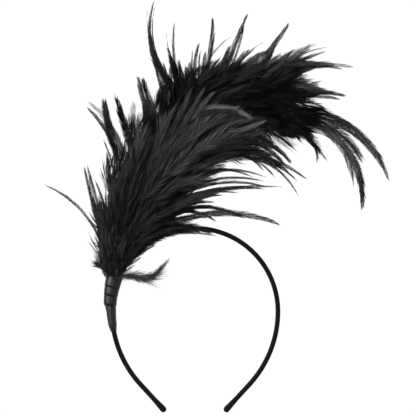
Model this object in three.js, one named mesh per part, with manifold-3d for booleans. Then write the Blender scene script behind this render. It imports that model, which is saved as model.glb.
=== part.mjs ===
// A flapper headband: a thin covered hoop with a feather spray bound to its left side.
// The spray is two plumes, one lying over the other, and one small downy feather that sticks out
// over the ribbon. The headband lies on its side: the hoop's plane is level, +Y runs from the open
// ends to the crown, +X away from the side that carries the spray, and +Z up from the surface.
// All lengths are millimetres.
import * as THREE from "three";
import { mergeVertices } from "three/addons/utils/BufferGeometryUtils.js";
import Module from "manifold-3d";

// Hoop: a half circle over the crown, two easier arcs down the sides and two straight ends.
const CROWN_RADIUS = 66.2;
const LEG_RADIUS = 86;
const LEG_TURN_DEG = 42.5;
const END_STRAIGHT = 29.5;
const BAND_THICKNESS = 3.7;
const BAND_WIDTH = 6;
const BAND_CHAMFER = 0.9;
const END_THICKNESS = 4.9;
const END_WIDTH = 8.6;
const END_FLARE = 15;
const TIP_BLUNT = 0.35; // how much of its thickness an end keeps at its very tip

// Ribbon binding: a wound sleeve round the hoop and the feathers' stems, on the left side.
const RIBBON_WALL = 1;
const RIBBON_TURN_THICKNESS = 0.12; // what each turn of the ribbon adds over the first
const BINDING_LENGTH = 44;
const BINDING_MOUTH_DEG = 24.3; // above the hoop's widest point
const STEM_THICKNESS = 7.4;
const CLEARANCE = 0.3;
const RISE_START = 7; // how far outside the hoop the feathers start to rise, to pass over it
const RISE_END = 2;

// Feather spray, measured from the middle of the stems in the binding's mouth.
const PLUME_SPAN = 220;
const PLUME_RISE = 212;
const PLUME_DEPTH = 58;
const FEATHER_WIDTH = 9;
const FEATHER_THICKNESS = 1.3;
const FRONT_MASS_WIDTH = 27;
const REAR_MASS_WIDTH = 30;
const LOCK_LENGTH = 46;
const LOCK_WIDTH = 10;
const LOCK_LEAN_DEG = 34;
const LOCK_ROOT_DEG = 20; // from the top of the mass, down its side
const DOWN_LENGTH = 45;
const DOWN_BARB = 12;
const DOWN_LOCK = 5;
const DOWN_SHAFT = 0.7;

const CROWN_STEPS = 24; // even, so that one flat facet is centred on the crown
const LEG_STEPS = 7;
const CORE_SIDES = 12;
const LOCKS = 26;
const BLADE_STEPS = 5;
const FINEST_EDGE = 0.02;
const STEM_PLACES = [0.86, 0.64, 0.46, 0.24, 0]; // shares of the binding's length
const FLARE_PLACES = [1, 0.75, 0.5, 0.28]; // shares of the flare's length, from the end
const TIP_PLACES = [1, 0.5, 0.15, 0]; // shares of the rounding's length, from the end

// A lock's bend as a share of its length, and its arch and the drop of its tip as shares of the
// mass's half depth.
const LOCK_FORM = { bow: 0.12, arch: 0.9, drop: 0.7 };

// The surface that parts the two plumes rises from the binding's mouth to this lift over this rise,
// as shares of PLUME_DEPTH and PLUME_RISE.
const PARTING = { up: 0.217, lift: 0.362 };

// Where the ribbon's turns end along the binding, with how far the stems fill it there.
const RIBBON_TURNS = [
  { along: 0, stems: 1, turns: 3 },
  { along: 0.22, stems: 0.7, turns: 3 },
  { along: 0.22, stems: 0.7, turns: 2 },
  { along: 0.36, stems: 0.56, turns: 2 },
  { along: 0.36, stems: 0.56, turns: 3 },
  { along: 0.52, stems: 0.46, turns: 3 },
  { along: 0.52, stems: 0.36, turns: 1 },
  { along: 0.64, stems: 0.18, turns: 1 },
  { along: 0.8, stems: 0.1, turns: 0 },
  { along: 1, stems: 0.06, turns: 0 },
];

// The plumes' spines: across is a share of PLUME_SPAN, up of PLUME_RISE and lift of PLUME_DEPTH.
// The mass of feathers round the spine: wide is its half width as a share of the plume's named mass,
// and thick its half depth as a share of PLUME_DEPTH.
const FRONT_SPINE = [
  { across: 0.004, up: 0.057, lift: 0.23, wide: 0.42, thick: 0.07 },
  { across: 0.025, up: 0.121, lift: 0.34, wide: 0.62, thick: 0.11 },
  { across: 0.055, up: 0.196, lift: 0.48, wide: 0.9, thick: 0.16 },
  { across: 0.102, up: 0.279, lift: 0.57, wide: 1.06, thick: 0.2 },
  { across: 0.164, up: 0.358, lift: 0.6, wide: 1.1, thick: 0.22 },
  { across: 0.24, up: 0.43, lift: 0.62, wide: 1.05, thick: 0.22 },
  { across: 0.331, up: 0.483, lift: 0.62, wide: 0.95, thick: 0.2 },
  { across: 0.422, up: 0.513, lift: 0.61, wide: 0.82, thick: 0.17 },
  { across: 0.487, up: 0.521, lift: 0.6, wide: 0.5, thick: 0.11 },
  { across: 0.512, up: 0.521, lift: 0.6, wide: 0.18, thick: 0.05 },
];
const REAR_SPINE = [
  { across: 0.003, up: 0.057, lift: 0.09, wide: 0.22, thick: 0.04 },
  { across: 0.014, up: 0.14, lift: 0.12, wide: 0.5, thick: 0.1 },
  { across: 0.036, up: 0.234, lift: 0.15, wide: 0.72, thick: 0.15 },
  { across: 0.073, up: 0.328, lift: 0.16, wide: 0.84, thick: 0.16 },
  { across: 0.12, up: 0.423, lift: 0.165, wide: 0.9, thick: 0.165 },
  { across: 0.175, up: 0.506, lift: 0.17, wide: 0.92, thick: 0.17 },
  { across: 0.247, up: 0.585, lift: 0.17, wide: 0.9, thick: 0.17 },
  { across: 0.338, up: 0.645, lift: 0.17, wide: 0.88, thick: 0.17 },
  { across: 0.44, up: 0.675, lift: 0.17, wide: 0.92, thick: 0.17 },
  { across: 0.545, up: 0.683, lift: 0.17, wide: 1.08, thick: 0.17 },
  { across: 0.64, up: 0.679, lift: 0.165, wide: 1.08, thick: 0.16 },
  { across: 0.713, up: 0.668, lift: 0.16, wide: 0.88, thick: 0.13 },
  { across: 0.77, up: 0.653, lift: 0.15, wide: 0.5, thick: 0.08 },
  { across: 0.8, up: 0.645, lift: 0.15, wide: 0.18, thick: 0.04 },
];

// The feathers that show: root is the share of the spine where the feather leaves it, across, up and
// lift place its tip as above, bow is how far it bends to its right as a share of its length, and
// wide is its width as a share of FEATHER_WIDTH.
const FRONT_FEATHERS = [
  { root: 0.06, across: -0.242, up: 0.336, lift: 0.5, bow: 0.2, wide: 0.35 },
  { root: 0.14, across: -0.1, up: 0.404, lift: 0.56, bow: 0.07, wide: 0.45 },
  { root: 0.15, across: -0.089, up: 0.408, lift: 0.48, bow: 0.06, wide: 0.45 },
  { root: 0.17, across: -0.064, up: 0.355, lift: 0.66, bow: 0.03, wide: 0.4 },
  { root: 0.2, across: -0.024, up: 0.457, lift: 0.62, bow: 0, wide: 0.6 },
  { root: 0.28, across: -0.02, up: 0.48, lift: 0.5, bow: 0.12, wide: 0.4 },
  { root: 0.04, across: -0.064, up: 0.211, lift: 0.4, bow: 0.04, wide: 0.8 },
  { root: 0.02, across: -0.053, up: 0.075, lift: 0.22, bow: 0, wide: 0.5 },
  { root: 0.03, across: -0.056, up: 0.03, lift: 0.2, bow: 0, wide: 0.4 },
  { root: 0.12, across: 0.02, up: 0.4, lift: 0.82, bow: 0.05, wide: 1 },
  { root: 0.2, across: 0.085, up: 0.49, lift: 0.86, bow: 0.04, wide: 1.05 },
  { root: 0.26, across: 0.14, up: 0.56, lift: 0.8, bow: 0.02, wide: 1.1 },
  { root: 0.34, across: 0.21, up: 0.62, lift: 0.84, bow: -0.04, wide: 1.1 },
  { root: 0.42, across: 0.285, up: 0.698, lift: 0.78, bow: -0.06, wide: 1.1 },
  { root: 0.5, across: 0.365, up: 0.69, lift: 0.86, bow: -0.1, wide: 1.1 },
  { root: 0.56, across: 0.504, up: 0.611, lift: 0.95, bow: -0.42, wide: 1.1 },
  { root: 0.6, across: 0.438, up: 0.64, lift: 0.78, bow: -0.15, wide: 1.1 },
  { root: 0.74, across: 0.555, up: 0.581, lift: 0.9, bow: 0, wide: 0.4 },
  { root: 0.68, across: 0.5, up: 0.585, lift: 0.84, bow: -0.1, wide: 1.1 },
  { root: 0.72, across: 0.547, up: 0.53, lift: 0.74, bow: -0.08, wide: 1.1 },
  { root: 0.66, across: 0.547, up: 0.49, lift: 0.64, bow: -0.1, wide: 1.1 },
  { root: 0.78, across: 0.671, up: 0.309, lift: 0.48, bow: -0.3, wide: 0.55 },
  { root: 0.82, across: 0.667, up: 0.362, lift: 0.54, bow: -0.19, wide: 0.8 },
  { root: 0.7, across: 0.591, up: 0.374, lift: 0.6, bow: -0.25, wide: 0.4 },
  { root: 0.52, across: 0.482, up: 0.419, lift: 0.6, bow: -0.14, wide: 0.5 },
  { root: 0.42, across: 0.413, up: 0.419, lift: 0.7, bow: -0.2, wide: 0.6 },
  { root: 0.4, across: 0.555, up: 0.377, lift: 0.55, bow: -0.29, wide: 0.75 },
  { root: 0.38, across: 0.547, up: 0.347, lift: 0.66, bow: -0.26, wide: 0.7 },
  { root: 0.33, across: 0.547, up: 0.332, lift: 0.5, bow: -0.23, wide: 0.8 },
  { root: 0.3, across: 0.453, up: 0.321, lift: 0.62, bow: -0.23, wide: 0.6 },
  { root: 0.28, across: 0.402, up: 0.317, lift: 0.5, bow: -0.2, wide: 0.7 },
  { root: 0.26, across: 0.369, up: 0.287, lift: 0.62, bow: -0.18, wide: 0.7 },
  { root: 0.22, across: 0.569, up: 0.211, lift: 0.46, bow: -0.25, wide: 0.8 },
  { root: 0.22, across: 0.471, up: 0.225, lift: 0.56, bow: -0.22, wide: 0.5 },
  { root: 0.18, across: 0.271, up: 0.208, lift: 0.5, bow: -0.15, wide: 1 },
  { root: 0.15, across: 0.24, up: 0.189, lift: 0.42, bow: -0.15, wide: 0.9 },
  { root: 0.07, across: 0.325, up: 0.166, lift: 0.3, bow: -0.25, wide: 0.55 },
  { root: 0.04, across: 0.129, up: 0.1, lift: 0.3, bow: -0.05, wide: 0.8 },
  { root: 0.02, across: 0.093, up: 0.066, lift: 0.26, bow: 0, wide: 0.6 },
];
const REAR_FEATHERS = [
  { root: 0.24, across: -0.078, up: 0.626, lift: 0.2, bow: 0.24, wide: 0.6 },
  { root: 0.28, across: -0.027, up: 0.657, lift: 0.3, bow: 0.08, wide: 0.75 },
  { root: 0.31, across: 0.02, up: 0.664, lift: 0.14, bow: 0.12, wide: 0.75 },
  { root: 0.35, across: 0.078, up: 0.645, lift: 0.26, bow: 0.02, wide: 0.6 },
  { root: 0.43, across: 0.096, up: 0.743, lift: 0.16, bow: 0.13, wide: 0.7 },
  { root: 0.45, across: 0.122, up: 0.747, lift: 0.28, bow: 0.05, wide: 0.6 },
  { root: 0.52, across: 0.147, up: 1, lift: 0.2, bow: 0.05, wide: 0.65 },
  { root: 0.6, across: 0.147, up: 0.838, lift: 0.3, bow: 0.2, wide: 0.4 },
  { root: 0.64, across: 0.202, up: 0.857, lift: 0.12, bow: 0.1, wide: 0.5 },
  { root: 0.63, across: 0.224, up: 0.955, lift: 0.22, bow: -0.02, wide: 0.35 },
  { root: 0.66, across: 0.249, up: 0.8, lift: 0.3, bow: 0.02, wide: 0.8 },
  { root: 0.64, across: 0.315, up: 0.875, lift: 0.16, bow: -0.08, wide: 0.6 },
  { root: 0.69, across: 0.365, up: 0.962, lift: 0.24, bow: 0.03, wide: 0.75 },
  { root: 0.71, across: 0.402, up: 0.842, lift: 0.1, bow: -0.05, wide: 1 },
  { root: 0.76, across: 0.489, up: 0.981, lift: 0.2, bow: -0.04, wide: 0.7 },
  { root: 0.77, across: 0.511, up: 0.849, lift: 0.3, bow: -0.15, wide: 0.9 },
  { root: 0.82, across: 0.638, up: 0.943, lift: 0.16, bow: -0.02, wide: 0.6 },
  { root: 0.8, across: 0.547, up: 0.849, lift: 0.08, bow: -0.08, wide: 1 },
  { root: 0.84, across: 0.769, up: 0.845, lift: 0.24, bow: -0.33, wide: 0.9 },
  { root: 0.9, across: 0.867, up: 0.789, lift: 0.14, bow: -0.42, wide: 0.4 },
  { root: 0.86, across: 0.787, up: 0.792, lift: 0.3, bow: -0.33, wide: 0.9 },
  { root: 0.84, across: 0.704, up: 0.758, lift: 0.12, bow: -0.25, wide: 1.1 },
  { root: 0.93, across: 0.842, up: 0.679, lift: 0.22, bow: -0.15, wide: 0.9 },
  { root: 0.92, across: 0.765, up: 0.65, lift: 0.3, bow: -0.08, wide: 1 },
  { root: 0.96, across: 1, up: 0.374, lift: 0.22, bow: -0.42, wide: 1.1 },
  { root: 0.97, across: 0.911, up: 0.268, lift: 0.12, bow: -0.38, wide: 1.2 },
  { root: 0.84, across: 0.776, up: 0.438, lift: 0.14, bow: -0.12, wide: 0.7 },
  { root: 0.95, across: 0.744, up: 0.442, lift: 0.26, bow: -0.12, wide: 0.6 },
  { root: 0.96, across: 0.802, up: 0.509, lift: 0.08, bow: -0.2, wide: 0.5 },
  { root: 0.8, across: 0.685, up: 0.545, lift: 0.24, bow: -0.05, wide: 1.1 },
  { root: 0.76, across: 0.704, up: 0.37, lift: 0.2, bow: 0.08, wide: 0.7 },
  { root: 0.76, across: 0.645, up: 0.43, lift: 0.1, bow: 0.05, wide: 0.6 },
];

// A feather's width along its length, root to tip.
const BLADE_FORM = [
  { along: 0, wide: 0.5 },
  { along: 0.3, wide: 1 },
  { along: 0.65, wide: 0.8 },
  { along: 0.9, wide: 0.32 },
  { along: 1, wide: 0.06 },
];

// The downy feather's shaft, as shares of DOWN_LENGTH from the binding's mouth.
const DOWN_SHAFT_PATH = [
  { across: 0, up: -0.05, lift: 0 },
  { across: 0.3, up: -0.02, lift: 0.02 },
  { across: 0.62, up: -0.05, lift: 0.09 },
  { across: 0.86, up: 0.05, lift: 0.13 },
  { across: 1.02, up: 0.28, lift: 0.15 },
];

// Its barbs: along its shaft, their length as a share of DOWN_BARB and their lean in degrees.
const DOWN_BARBS = [
  { along: 0.36, length: 0.55, lean: -38 },
  { along: 0.46, length: 0.75, lean: 40 },
  { along: 0.5, length: 1, lean: -30 },
  { along: 0.56, length: 0.7, lean: 30 },
  { along: 0.6, length: 1, lean: -42 },
  { along: 0.68, length: 0.95, lean: -34 },
  { along: 0.76, length: 0.7, lean: 30 },
  { along: 0.84, length: 0.6, lean: -45 },
];

const wasm = await Module();
wasm.setup();
const radians = THREE.MathUtils.degToRad;

// The band lies as high as the binding under it, or its own flared ends, hold it.
const BAND_HEIGHT = Math.max(END_WIDTH / 2, BAND_WIDTH / 2 + CLEARANCE + RIBBON_WALL);
const BAND_TOP = BAND_HEIGHT + BAND_WIDTH / 2;

// A value read from a table's column, with straight lines between its rows.
function readTable(rows, column, along) {
  const next = rows.findIndex((row) => row.along >= along);
  if (next < 0) return rows.at(-1)[column];
  if (next === 0) return rows[0][column];
  const [a, b] = [rows[next - 1], rows[next]];
  return THREE.MathUtils.mapLinear(along, a.along, b.along, a[column], b[column]);
}

function solidOf(geometry) {
  geometry.deleteAttribute("normal");
  geometry.deleteAttribute("uv");
  const merged = mergeVertices(geometry, 1e-4);
  return new wasm.Manifold(
    new wasm.Mesh({
      numProp: 3,
      vertProperties: merged.attributes.position.array,
      triVerts: new Uint32Array(merged.index.array),
    }),
  );
}

// The outer surface of the joined pieces: a hollow that feathers close in between them is filled.
function geometryOf(solid) {
  const bodies = solid.simplify(FINEST_EDGE).decompose();
  const mesh = wasm.Manifold.compose(bodies.filter((body) => body.volume() > 0)).getMesh();
  return new THREE.BufferGeometry()
    .setAttribute("position", new THREE.BufferAttribute(mesh.vertProperties, 3))
    .setIndex(new THREE.BufferAttribute(mesh.triVerts, 1))
    .toNonIndexed();
}

// A closed body through rings of points that run the same way round, each ring capped by a fan.
function loft(rings) {
  const sides = rings[0].length;
  const positions = rings.flat().flatMap((p) => [p.x, p.y, p.z]);
  const faces = [];
  for (let r = 0; r + 1 < rings.length; r++) {
    for (let i = 0; i < sides; i++) {
      const [a, b] = [r * sides + i, r * sides + ((i + 1) % sides)];
      faces.push(a, b, b + sides, a, b + sides, a + sides);
    }
  }
  const last = (rings.length - 1) * sides;
  for (let i = 1; i + 1 < sides; i++) {
    faces.push(0, i + 1, i, last, last + i, last + i + 1);
  }
  const geometry = new THREE.BufferGeometry();
  geometry.setAttribute("position", new THREE.Float32BufferAttribute(positions, 3));
  geometry.setIndex(facingOut(positions, faces));
  return geometry;
}

// The faces in the order that points them outwards, whichever way the rings run.
function facingOut(positions, faces) {
  const corner = (i) => new THREE.Vector3().fromArray(positions, 3 * faces[i]);
  let volume = 0;
  for (let i = 0; i < faces.length; i += 3) volume += corner(i).dot(corner(i + 1).cross(corner(i + 2)));
  return volume < 0 ? faces.reverse() : faces;
}

// A box section with cut corners: it runs from near to far across the path and low to high in Z.
function cutCornerRing(point, normal, { near, far, low, high, cut }) {
  const corners = [
    [near + cut, low],
    [far - cut, low],
    [far, low + cut],
    [far, high - cut],
    [far - cut, high],
    [near + cut, high],
    [near, high - cut],
    [near, low + cut],
  ];
  return corners.map(([n, z]) => new THREE.Vector3(point.x + normal.x * n, point.y + normal.y * n, z));
}

// Half of the hoop's centre line, from the crown's middle to the right end: its point and outward
// normal at a distance along it. The left half mirrors it.
const HALF_CROWN = (CROWN_RADIUS * Math.PI) / 2;
const HALF_LEG = LEG_RADIUS * radians(LEG_TURN_DEG);
const HALF_HOOP = HALF_CROWN + HALF_LEG + END_STRAIGHT;
const TIP_LENGTH = END_THICKNESS / 2;
function hoopAt(distance) {
  const side = Math.sign(distance) || 1;
  const reach = Math.abs(distance);
  const turn =
    reach < HALF_CROWN
      ? reach / CROWN_RADIUS
      : Math.PI / 2 + Math.min(reach - HALF_CROWN, HALF_LEG) / LEG_RADIUS;
  const straight = Math.max(0, reach - HALF_CROWN - HALF_LEG);
  const normal = new THREE.Vector2(Math.sin(turn), Math.cos(turn));
  const point = normal.clone();
  if (reach < HALF_CROWN) point.multiplyScalar(CROWN_RADIUS).y -= CROWN_RADIUS;
  else {
    point.multiplyScalar(LEG_RADIUS).add(new THREE.Vector2(CROWN_RADIUS - LEG_RADIUS, -CROWN_RADIUS));
    point.add(new THREE.Vector2(normal.y, -normal.x).multiplyScalar(straight));
  }
  point.x *= side;
  normal.x *= side;
  return { point, normal };
}

// How far a point in the hoop's plane lies outside the band's outer face; inside it is negative.
function outsideHoop(x, y) {
  return Math.hypot(x, y + CROWN_RADIUS) - CROWN_RADIUS - BAND_THICKNESS / 2;
}

// The band's section: it flares towards each end, and the end itself is rounded off.
function bandSection(distance) {
  const fromEnd = HALF_HOOP - Math.abs(distance);
  const flare = 1 - THREE.MathUtils.smoothstep(fromEnd, 0, END_FLARE);
  const inTip = 1 - Math.min(1, fromEnd / TIP_LENGTH);
  const round = Math.max(TIP_BLUNT, Math.sqrt(1 - inTip * inTip));
  const thickness = THREE.MathUtils.lerp(BAND_THICKNESS, END_THICKNESS, flare) * round;
  const width = THREE.MathUtils.lerp(BAND_WIDTH, END_WIDTH, flare) - END_THICKNESS * (1 - round);
  return {
    near: -thickness / 2,
    far: thickness / 2,
    low: BAND_HEIGHT - width / 2,
    high: BAND_HEIGHT + width / 2,
    cut: BAND_CHAMFER * round,
  };
}

// The places of the band's sections, along the hoop from its left end to its right one.
function bandStations() {
  const crown = Array.from({ length: CROWN_STEPS }, (_, i) => HALF_CROWN * ((2 * i + 1) / CROWN_STEPS - 1));
  const leg = Array.from({ length: LEG_STEPS }, (_, i) => HALF_CROWN + (HALF_LEG * (i + 0.4)) / LEG_STEPS);
  leg.push(HALF_CROWN + HALF_LEG);
  const flare = FLARE_PLACES.map((share) => HALF_HOOP - END_FLARE * share);
  const tip = TIP_PLACES.map((share) => HALF_HOOP - TIP_LENGTH * share);
  const side = [...leg, ...flare.filter((place) => place > leg.at(-1)), ...tip];
  return [...side.map((place) => -place).reverse(), ...crown, ...side];
}

function buildBand() {
  const rings = bandStations().map((distance) => {
    const { point, normal } = hoopAt(distance);
    return cutCornerRing(point, normal, bandSection(distance));
  });
  return loft(rings);
}

// Distances along the left half of the hoop: the binding's mouth, and a share of its length below.
const MOUTH = -CROWN_RADIUS * (Math.PI / 2 - radians(BINDING_MOUTH_DEG));
const STEMS_NEAR = BAND_THICKNESS / 2 + CLEARANCE;
const bindingAt = (share) => hoopAt(MOUTH - BINDING_LENGTH * share);
const stemsFill = (share) => STEM_THICKNESS * readTable(RIBBON_TURNS, "stems", share);

function bindingRing(row, grow) {
  const { point, normal } = bindingAt(row.along);
  return cutCornerRing(point, normal, {
    near: -STEMS_NEAR - grow,
    far: STEMS_NEAR + STEM_THICKNESS * row.stems + CLEARANCE + grow,
    low: BAND_HEIGHT - BAND_WIDTH / 2 - CLEARANCE - Math.min(grow, RIBBON_WALL),
    high: BAND_HEIGHT + BAND_WIDTH / 2 + CLEARANCE + grow,
    cut: grow ? RIBBON_WALL + BAND_CHAMFER / 2 : BAND_CHAMFER / 3,
  });
}

// The ribbon's sleeve: each turn's lower edge is a small step, and the way through is open.
function buildBinding() {
  const nudge = 0.004; // parts two rows at one place, so that a turn's edge is a steep step
  const rows = RIBBON_TURNS.map((row, i) => ({
    ...row,
    along: row.along + (RIBBON_TURNS[i - 1]?.along === row.along ? nudge : 0),
  }));
  const outer = loft(rows.map((row) => bindingRing(row, RIBBON_WALL + RIBBON_TURN_THICKNESS * row.turns)));
  const past = 0.02; // the way through runs past both ends
  const inner = [{ ...rows[0], along: -past }, ...rows, { ...rows.at(-1), along: 1 + past }];
  return geometryOf(solidOf(outer).subtract(solidOf(loft(inner.map((row) => bindingRing(row, 0))))));
}

// The middle of the stems in the binding's mouth, from which the spray's sizes are measured.
const MOUTH_POINT = bindingAt(0).point.addScaledVector(bindingAt(0).normal, STEMS_NEAR + STEM_THICKNESS / 2);

function sprayPoint({ across, up, lift }) {
  return new THREE.Vector3(
    MOUTH_POINT.x + PLUME_SPAN * across,
    MOUTH_POINT.y + PLUME_RISE * up,
    PLUME_DEPTH * lift,
  );
}

// The lowest height that feathers keep: the surface, or over the band where they cross it.
function groundHeight(x, y) {
  const overBand = 1 - THREE.MathUtils.smoothstep(outsideHoop(x, y), RISE_END, RISE_START);
  return overBand * (BAND_TOP + 2 * CLEARANCE);
}

// The height that parts the two plumes: level with the band in the binding, then rising with the
// spray, and over the band always with room for the rear plume's feathers under it.
function partingHeight(x, y) {
  const rise = THREE.MathUtils.clamp((y - MOUTH_POINT.y) / (PLUME_RISE * PARTING.up), 0, 1);
  const slope = THREE.MathUtils.lerp(BAND_HEIGHT, PLUME_DEPTH * PARTING.lift, rise);
  return rise > 0 ? Math.max(slope, groundHeight(x, y) + FEATHER_THICKNESS) : slope;
}

// Each plume's layer: the range of heights open to it at a point.
const LAYERS = {
  rear: (x, y) => [groundHeight(x, y), partingHeight(x, y) - CLEARANCE / 2],
  front: (x, y) => [Math.max(groundHeight(x, y), partingHeight(x, y) + CLEARANCE / 2), PLUME_DEPTH],
};

// The two plumes. Their stems share the binding, one over the other beside the band.
const REAR_PLUME = {
  spine: REAR_SPINE,
  feathers: REAR_FEATHERS,
  mass: REAR_MASS_WIDTH,
  layer: LAYERS.rear,
  stem: { low: BAND_HEIGHT - BAND_WIDTH / 2, high: BAND_HEIGHT - CLEARANCE / 2 },
};
const FRONT_PLUME = {
  spine: FRONT_SPINE,
  feathers: FRONT_FEATHERS,
  mass: FRONT_MASS_WIDTH,
  layer: LAYERS.front,
  stem: { low: BAND_HEIGHT + CLEARANCE / 2, high: BAND_TOP },
};

function keepInLayer(point, layer, half) {
  const [low, high] = layer(point.x, point.y);
  point.z = Math.max(low + half, Math.min(high - half, point.z));
  return point;
}

// A feather: a thin leaf on a curve that bends sideways by its bow and arches up, kept in its
// plume's layer.
function featherBlade(root, tip, { bow, wide, arch = 0 }, layer) {
  const middle = root.clone().lerp(tip, 0.5);
  middle.x += (tip.y - root.y) * bow;
  middle.y -= (tip.x - root.x) * bow;
  middle.z += arch;
  const curve = new THREE.QuadraticBezierCurve3(root, middle, tip);
  const rings = [];
  for (let i = 0; i <= BLADE_STEPS; i++) {
    const along = i / BLADE_STEPS;
    const side = sideOf(curve.getTangent(along));
    const half = (wide * readTable(BLADE_FORM, "wide", along)) / 2;
    const thick = FEATHER_THICKNESS * (1 - 0.5 * along) * 0.5;
    const centre = keepInLayer(curve.getPoint(along), layer, thick);
    rings.push(diamondRing(centre, side, half, thick).map((p) => keepInLayer(p, layer, 0)));
  }
  return loft(rings);
}

function sideOf(tangent) {
  return new THREE.Vector3(tangent.y, -tangent.x, 0).normalize();
}

function diamondRing(centre, side, half, thick) {
  const up = new THREE.Vector3(0, 0, thick);
  return [
    centre.clone().addScaledVector(side, -half),
    centre.clone().sub(up),
    centre.clone().addScaledVector(side, half),
    centre.clone().add(up),
  ];
}

function stemRing({ point, normal }, fill, low, high) {
  const ring = [];
  for (let k = 0; k < CORE_SIDES; k++) {
    const angle = (2 * Math.PI * k) / CORE_SIDES;
    const out = STEMS_NEAR + (fill * (1 - Math.cos(angle))) / 2;
    const z = THREE.MathUtils.lerp(low, high, (1 + Math.sin(angle)) / 2);
    ring.push(new THREE.Vector3(point.x + normal.x * out, point.y + normal.y * out, z));
  }
  return ring;
}

// A plume's spine as a smooth curve from the binding's mouth, and the mass of feathers round it: at
// a place along it, its middle, its side direction, its half width and its half depth.
function plumeMass({ spine, mass, stem }) {
  const start = new THREE.Vector3(MOUTH_POINT.x, MOUTH_POINT.y, (stem.low + stem.high) / 2);
  const curve = new THREE.CatmullRomCurve3([start, ...spine.map(sprayPoint)]);
  const rows = spine.map((row, i) => ({ ...row, along: (i + 1) / spine.length }));
  const at = (along) => ({
    centre: curve.getPoint(along),
    side: sideOf(curve.getTangent(along)),
    wide: mass * readTable(rows, "wide", along),
    thick: PLUME_DEPTH * readTable(rows, "thick", along),
  });
  return { curve, rows, at };
}

function onMass({ centre, side, wide, thick }, angle) {
  const point = centre.clone().addScaledVector(side, Math.cos(angle) * wide);
  point.z += Math.sin(angle) * thick;
  return point;
}

// A plume's body: its stem, which tapers down inside the binding, and the mass round its spine.
function plumeBody({ rows, at }, { layer, stem }) {
  const rings = STEM_PLACES.map((share) => stemRing(bindingAt(share), stemsFill(share), stem.low, stem.high));
  for (const row of rows) {
    const section = at(row.along);
    const angles = Array.from({ length: CORE_SIDES }, (_, k) => (2 * Math.PI * k) / CORE_SIDES);
    rings.push(angles.map((angle) => keepInLayer(onMass(section, angle), layer, 0)));
  }
  return loft(rings);
}

// Locks over a plume's upper side, by turns to the left and to the right of its spine.
function plumeLocks({ at }, { layer, mass }) {
  const locks = [];
  for (let i = 0; i < LOCKS; i++) {
    const share = 0.1 + (0.8 * i) / LOCKS;
    const side = i % 2 ? 1 : -1;
    const section = at(share);
    const root = onMass(section, Math.PI / 2 - side * radians(LOCK_ROOT_DEG));
    root.z -= FEATHER_THICKNESS; // the lock springs from inside the mass
    const forward = new THREE.Vector2(-section.side.y, section.side.x);
    forward.rotateAround(new THREE.Vector2(), -side * radians(LOCK_LEAN_DEG));
    const length = (LOCK_LENGTH * section.wide) / mass;
    const tip = root.clone().add(new THREE.Vector3(forward.x, forward.y, 0).multiplyScalar(length));
    tip.z -= section.thick * LOCK_FORM.drop;
    const form = { bow: side * LOCK_FORM.bow, wide: LOCK_WIDTH, arch: section.thick * LOCK_FORM.arch };
    locks.push(featherBlade(root, tip, form, layer));
  }
  return locks;
}

function buildPlume(plume) {
  const mass = plumeMass(plume);
  const feathers = plume.feathers.map((row) => {
    const form = { bow: row.bow, wide: FEATHER_WIDTH * row.wide };
    return featherBlade(mass.curve.getPointAt(row.root), sprayPoint(row), form, plume.layer);
  });
  const pieces = [plumeBody(mass, plume), ...plumeLocks(mass, plume), ...feathers];
  return geometryOf(pieces.map(solidOf).reduce((whole, piece) => whole.add(piece)));
}

// The downy feather: its quill lies over the ribbon's upper edge, and it floats out over the hoop.
function buildDownyFeather() {
  const ribbonTop = BAND_TOP + CLEARANCE + RIBBON_WALL + RIBBON_TURN_THICKNESS * RIBBON_TURNS[0].turns;
  const base = ribbonTop + CLEARANCE + DOWN_SHAFT;
  const places = DOWN_SHAFT_PATH.map(({ across, up, lift }) => {
    const place = new THREE.Vector3(across, up, lift).multiplyScalar(DOWN_LENGTH);
    return place.add(new THREE.Vector3(MOUTH_POINT.x, MOUTH_POINT.y, base));
  });
  const shaft = new THREE.CatmullRomCurve3(places);
  const barbs = DOWN_BARBS.map((barb) => {
    const from = shaft.getPointAt(barb.along);
    const tangent = shaft.getTangentAt(barb.along);
    const lean = Math.atan2(tangent.y, tangent.x) + radians(barb.lean);
    const reach = new THREE.Vector3(Math.cos(lean), Math.sin(lean), 0.06);
    return new THREE.LineCurve3(from, from.clone().addScaledVector(reach, DOWN_BARB * barb.length));
  });
  const lock = (path) => {
    const rings = [];
    for (let i = 0; i <= BLADE_STEPS; i++) {
      const along = i / BLADE_STEPS;
      const half = (DOWN_LOCK * readTable(BLADE_FORM, "wide", along)) / 2;
      rings.push(diamondRing(path.getPoint(along), sideOf(path.getTangent(along)), half, DOWN_SHAFT));
    }
    return loft(rings);
  };
  return geometryOf([shaft, ...barbs].map(lock).map(solidOf).reduce((whole, piece) => whole.add(piece)));
}

const covering = new THREE.MeshStandardMaterial({ color: 0x2b2b2d, roughness: 0.45, metalness: 0 });
const ribbon = new THREE.MeshStandardMaterial({ color: 0x3a3a3d, roughness: 0.3, metalness: 0 });
const feather = new THREE.MeshStandardMaterial({ color: 0x1c1c1e, roughness: 0.6, metalness: 0 });

function named(name, geometry, material) {
  const mesh = new THREE.Mesh(geometry, material);
  mesh.name = name;
  return mesh;
}

const headband = new THREE.Group();
headband.add(
  named("band", buildBand(), covering),
  named("ribbon_binding", buildBinding(), ribbon),
  named("rear_plume", buildPlume(REAR_PLUME), feather),
  named("front_plume", buildPlume(FRONT_PLUME), feather),
  named("downy_feather", buildDownyFeather(), feather),
);

// The origin is on the surface that the headband lies on, under the middle of the whole.
const reach = new THREE.Box3().setFromObject(headband);
const middle = reach.getCenter(new THREE.Vector3());
headband.position.set(-middle.x, -middle.y, -reach.min.z);

export default headband;
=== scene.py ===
"""Dresses the feather headband: a fabric-covered hoop, a wound satin ribbon and dyed coque feathers."""

import math
import random
from collections import namedtuple

import bmesh
import bpy
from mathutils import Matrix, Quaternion, Vector


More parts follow.
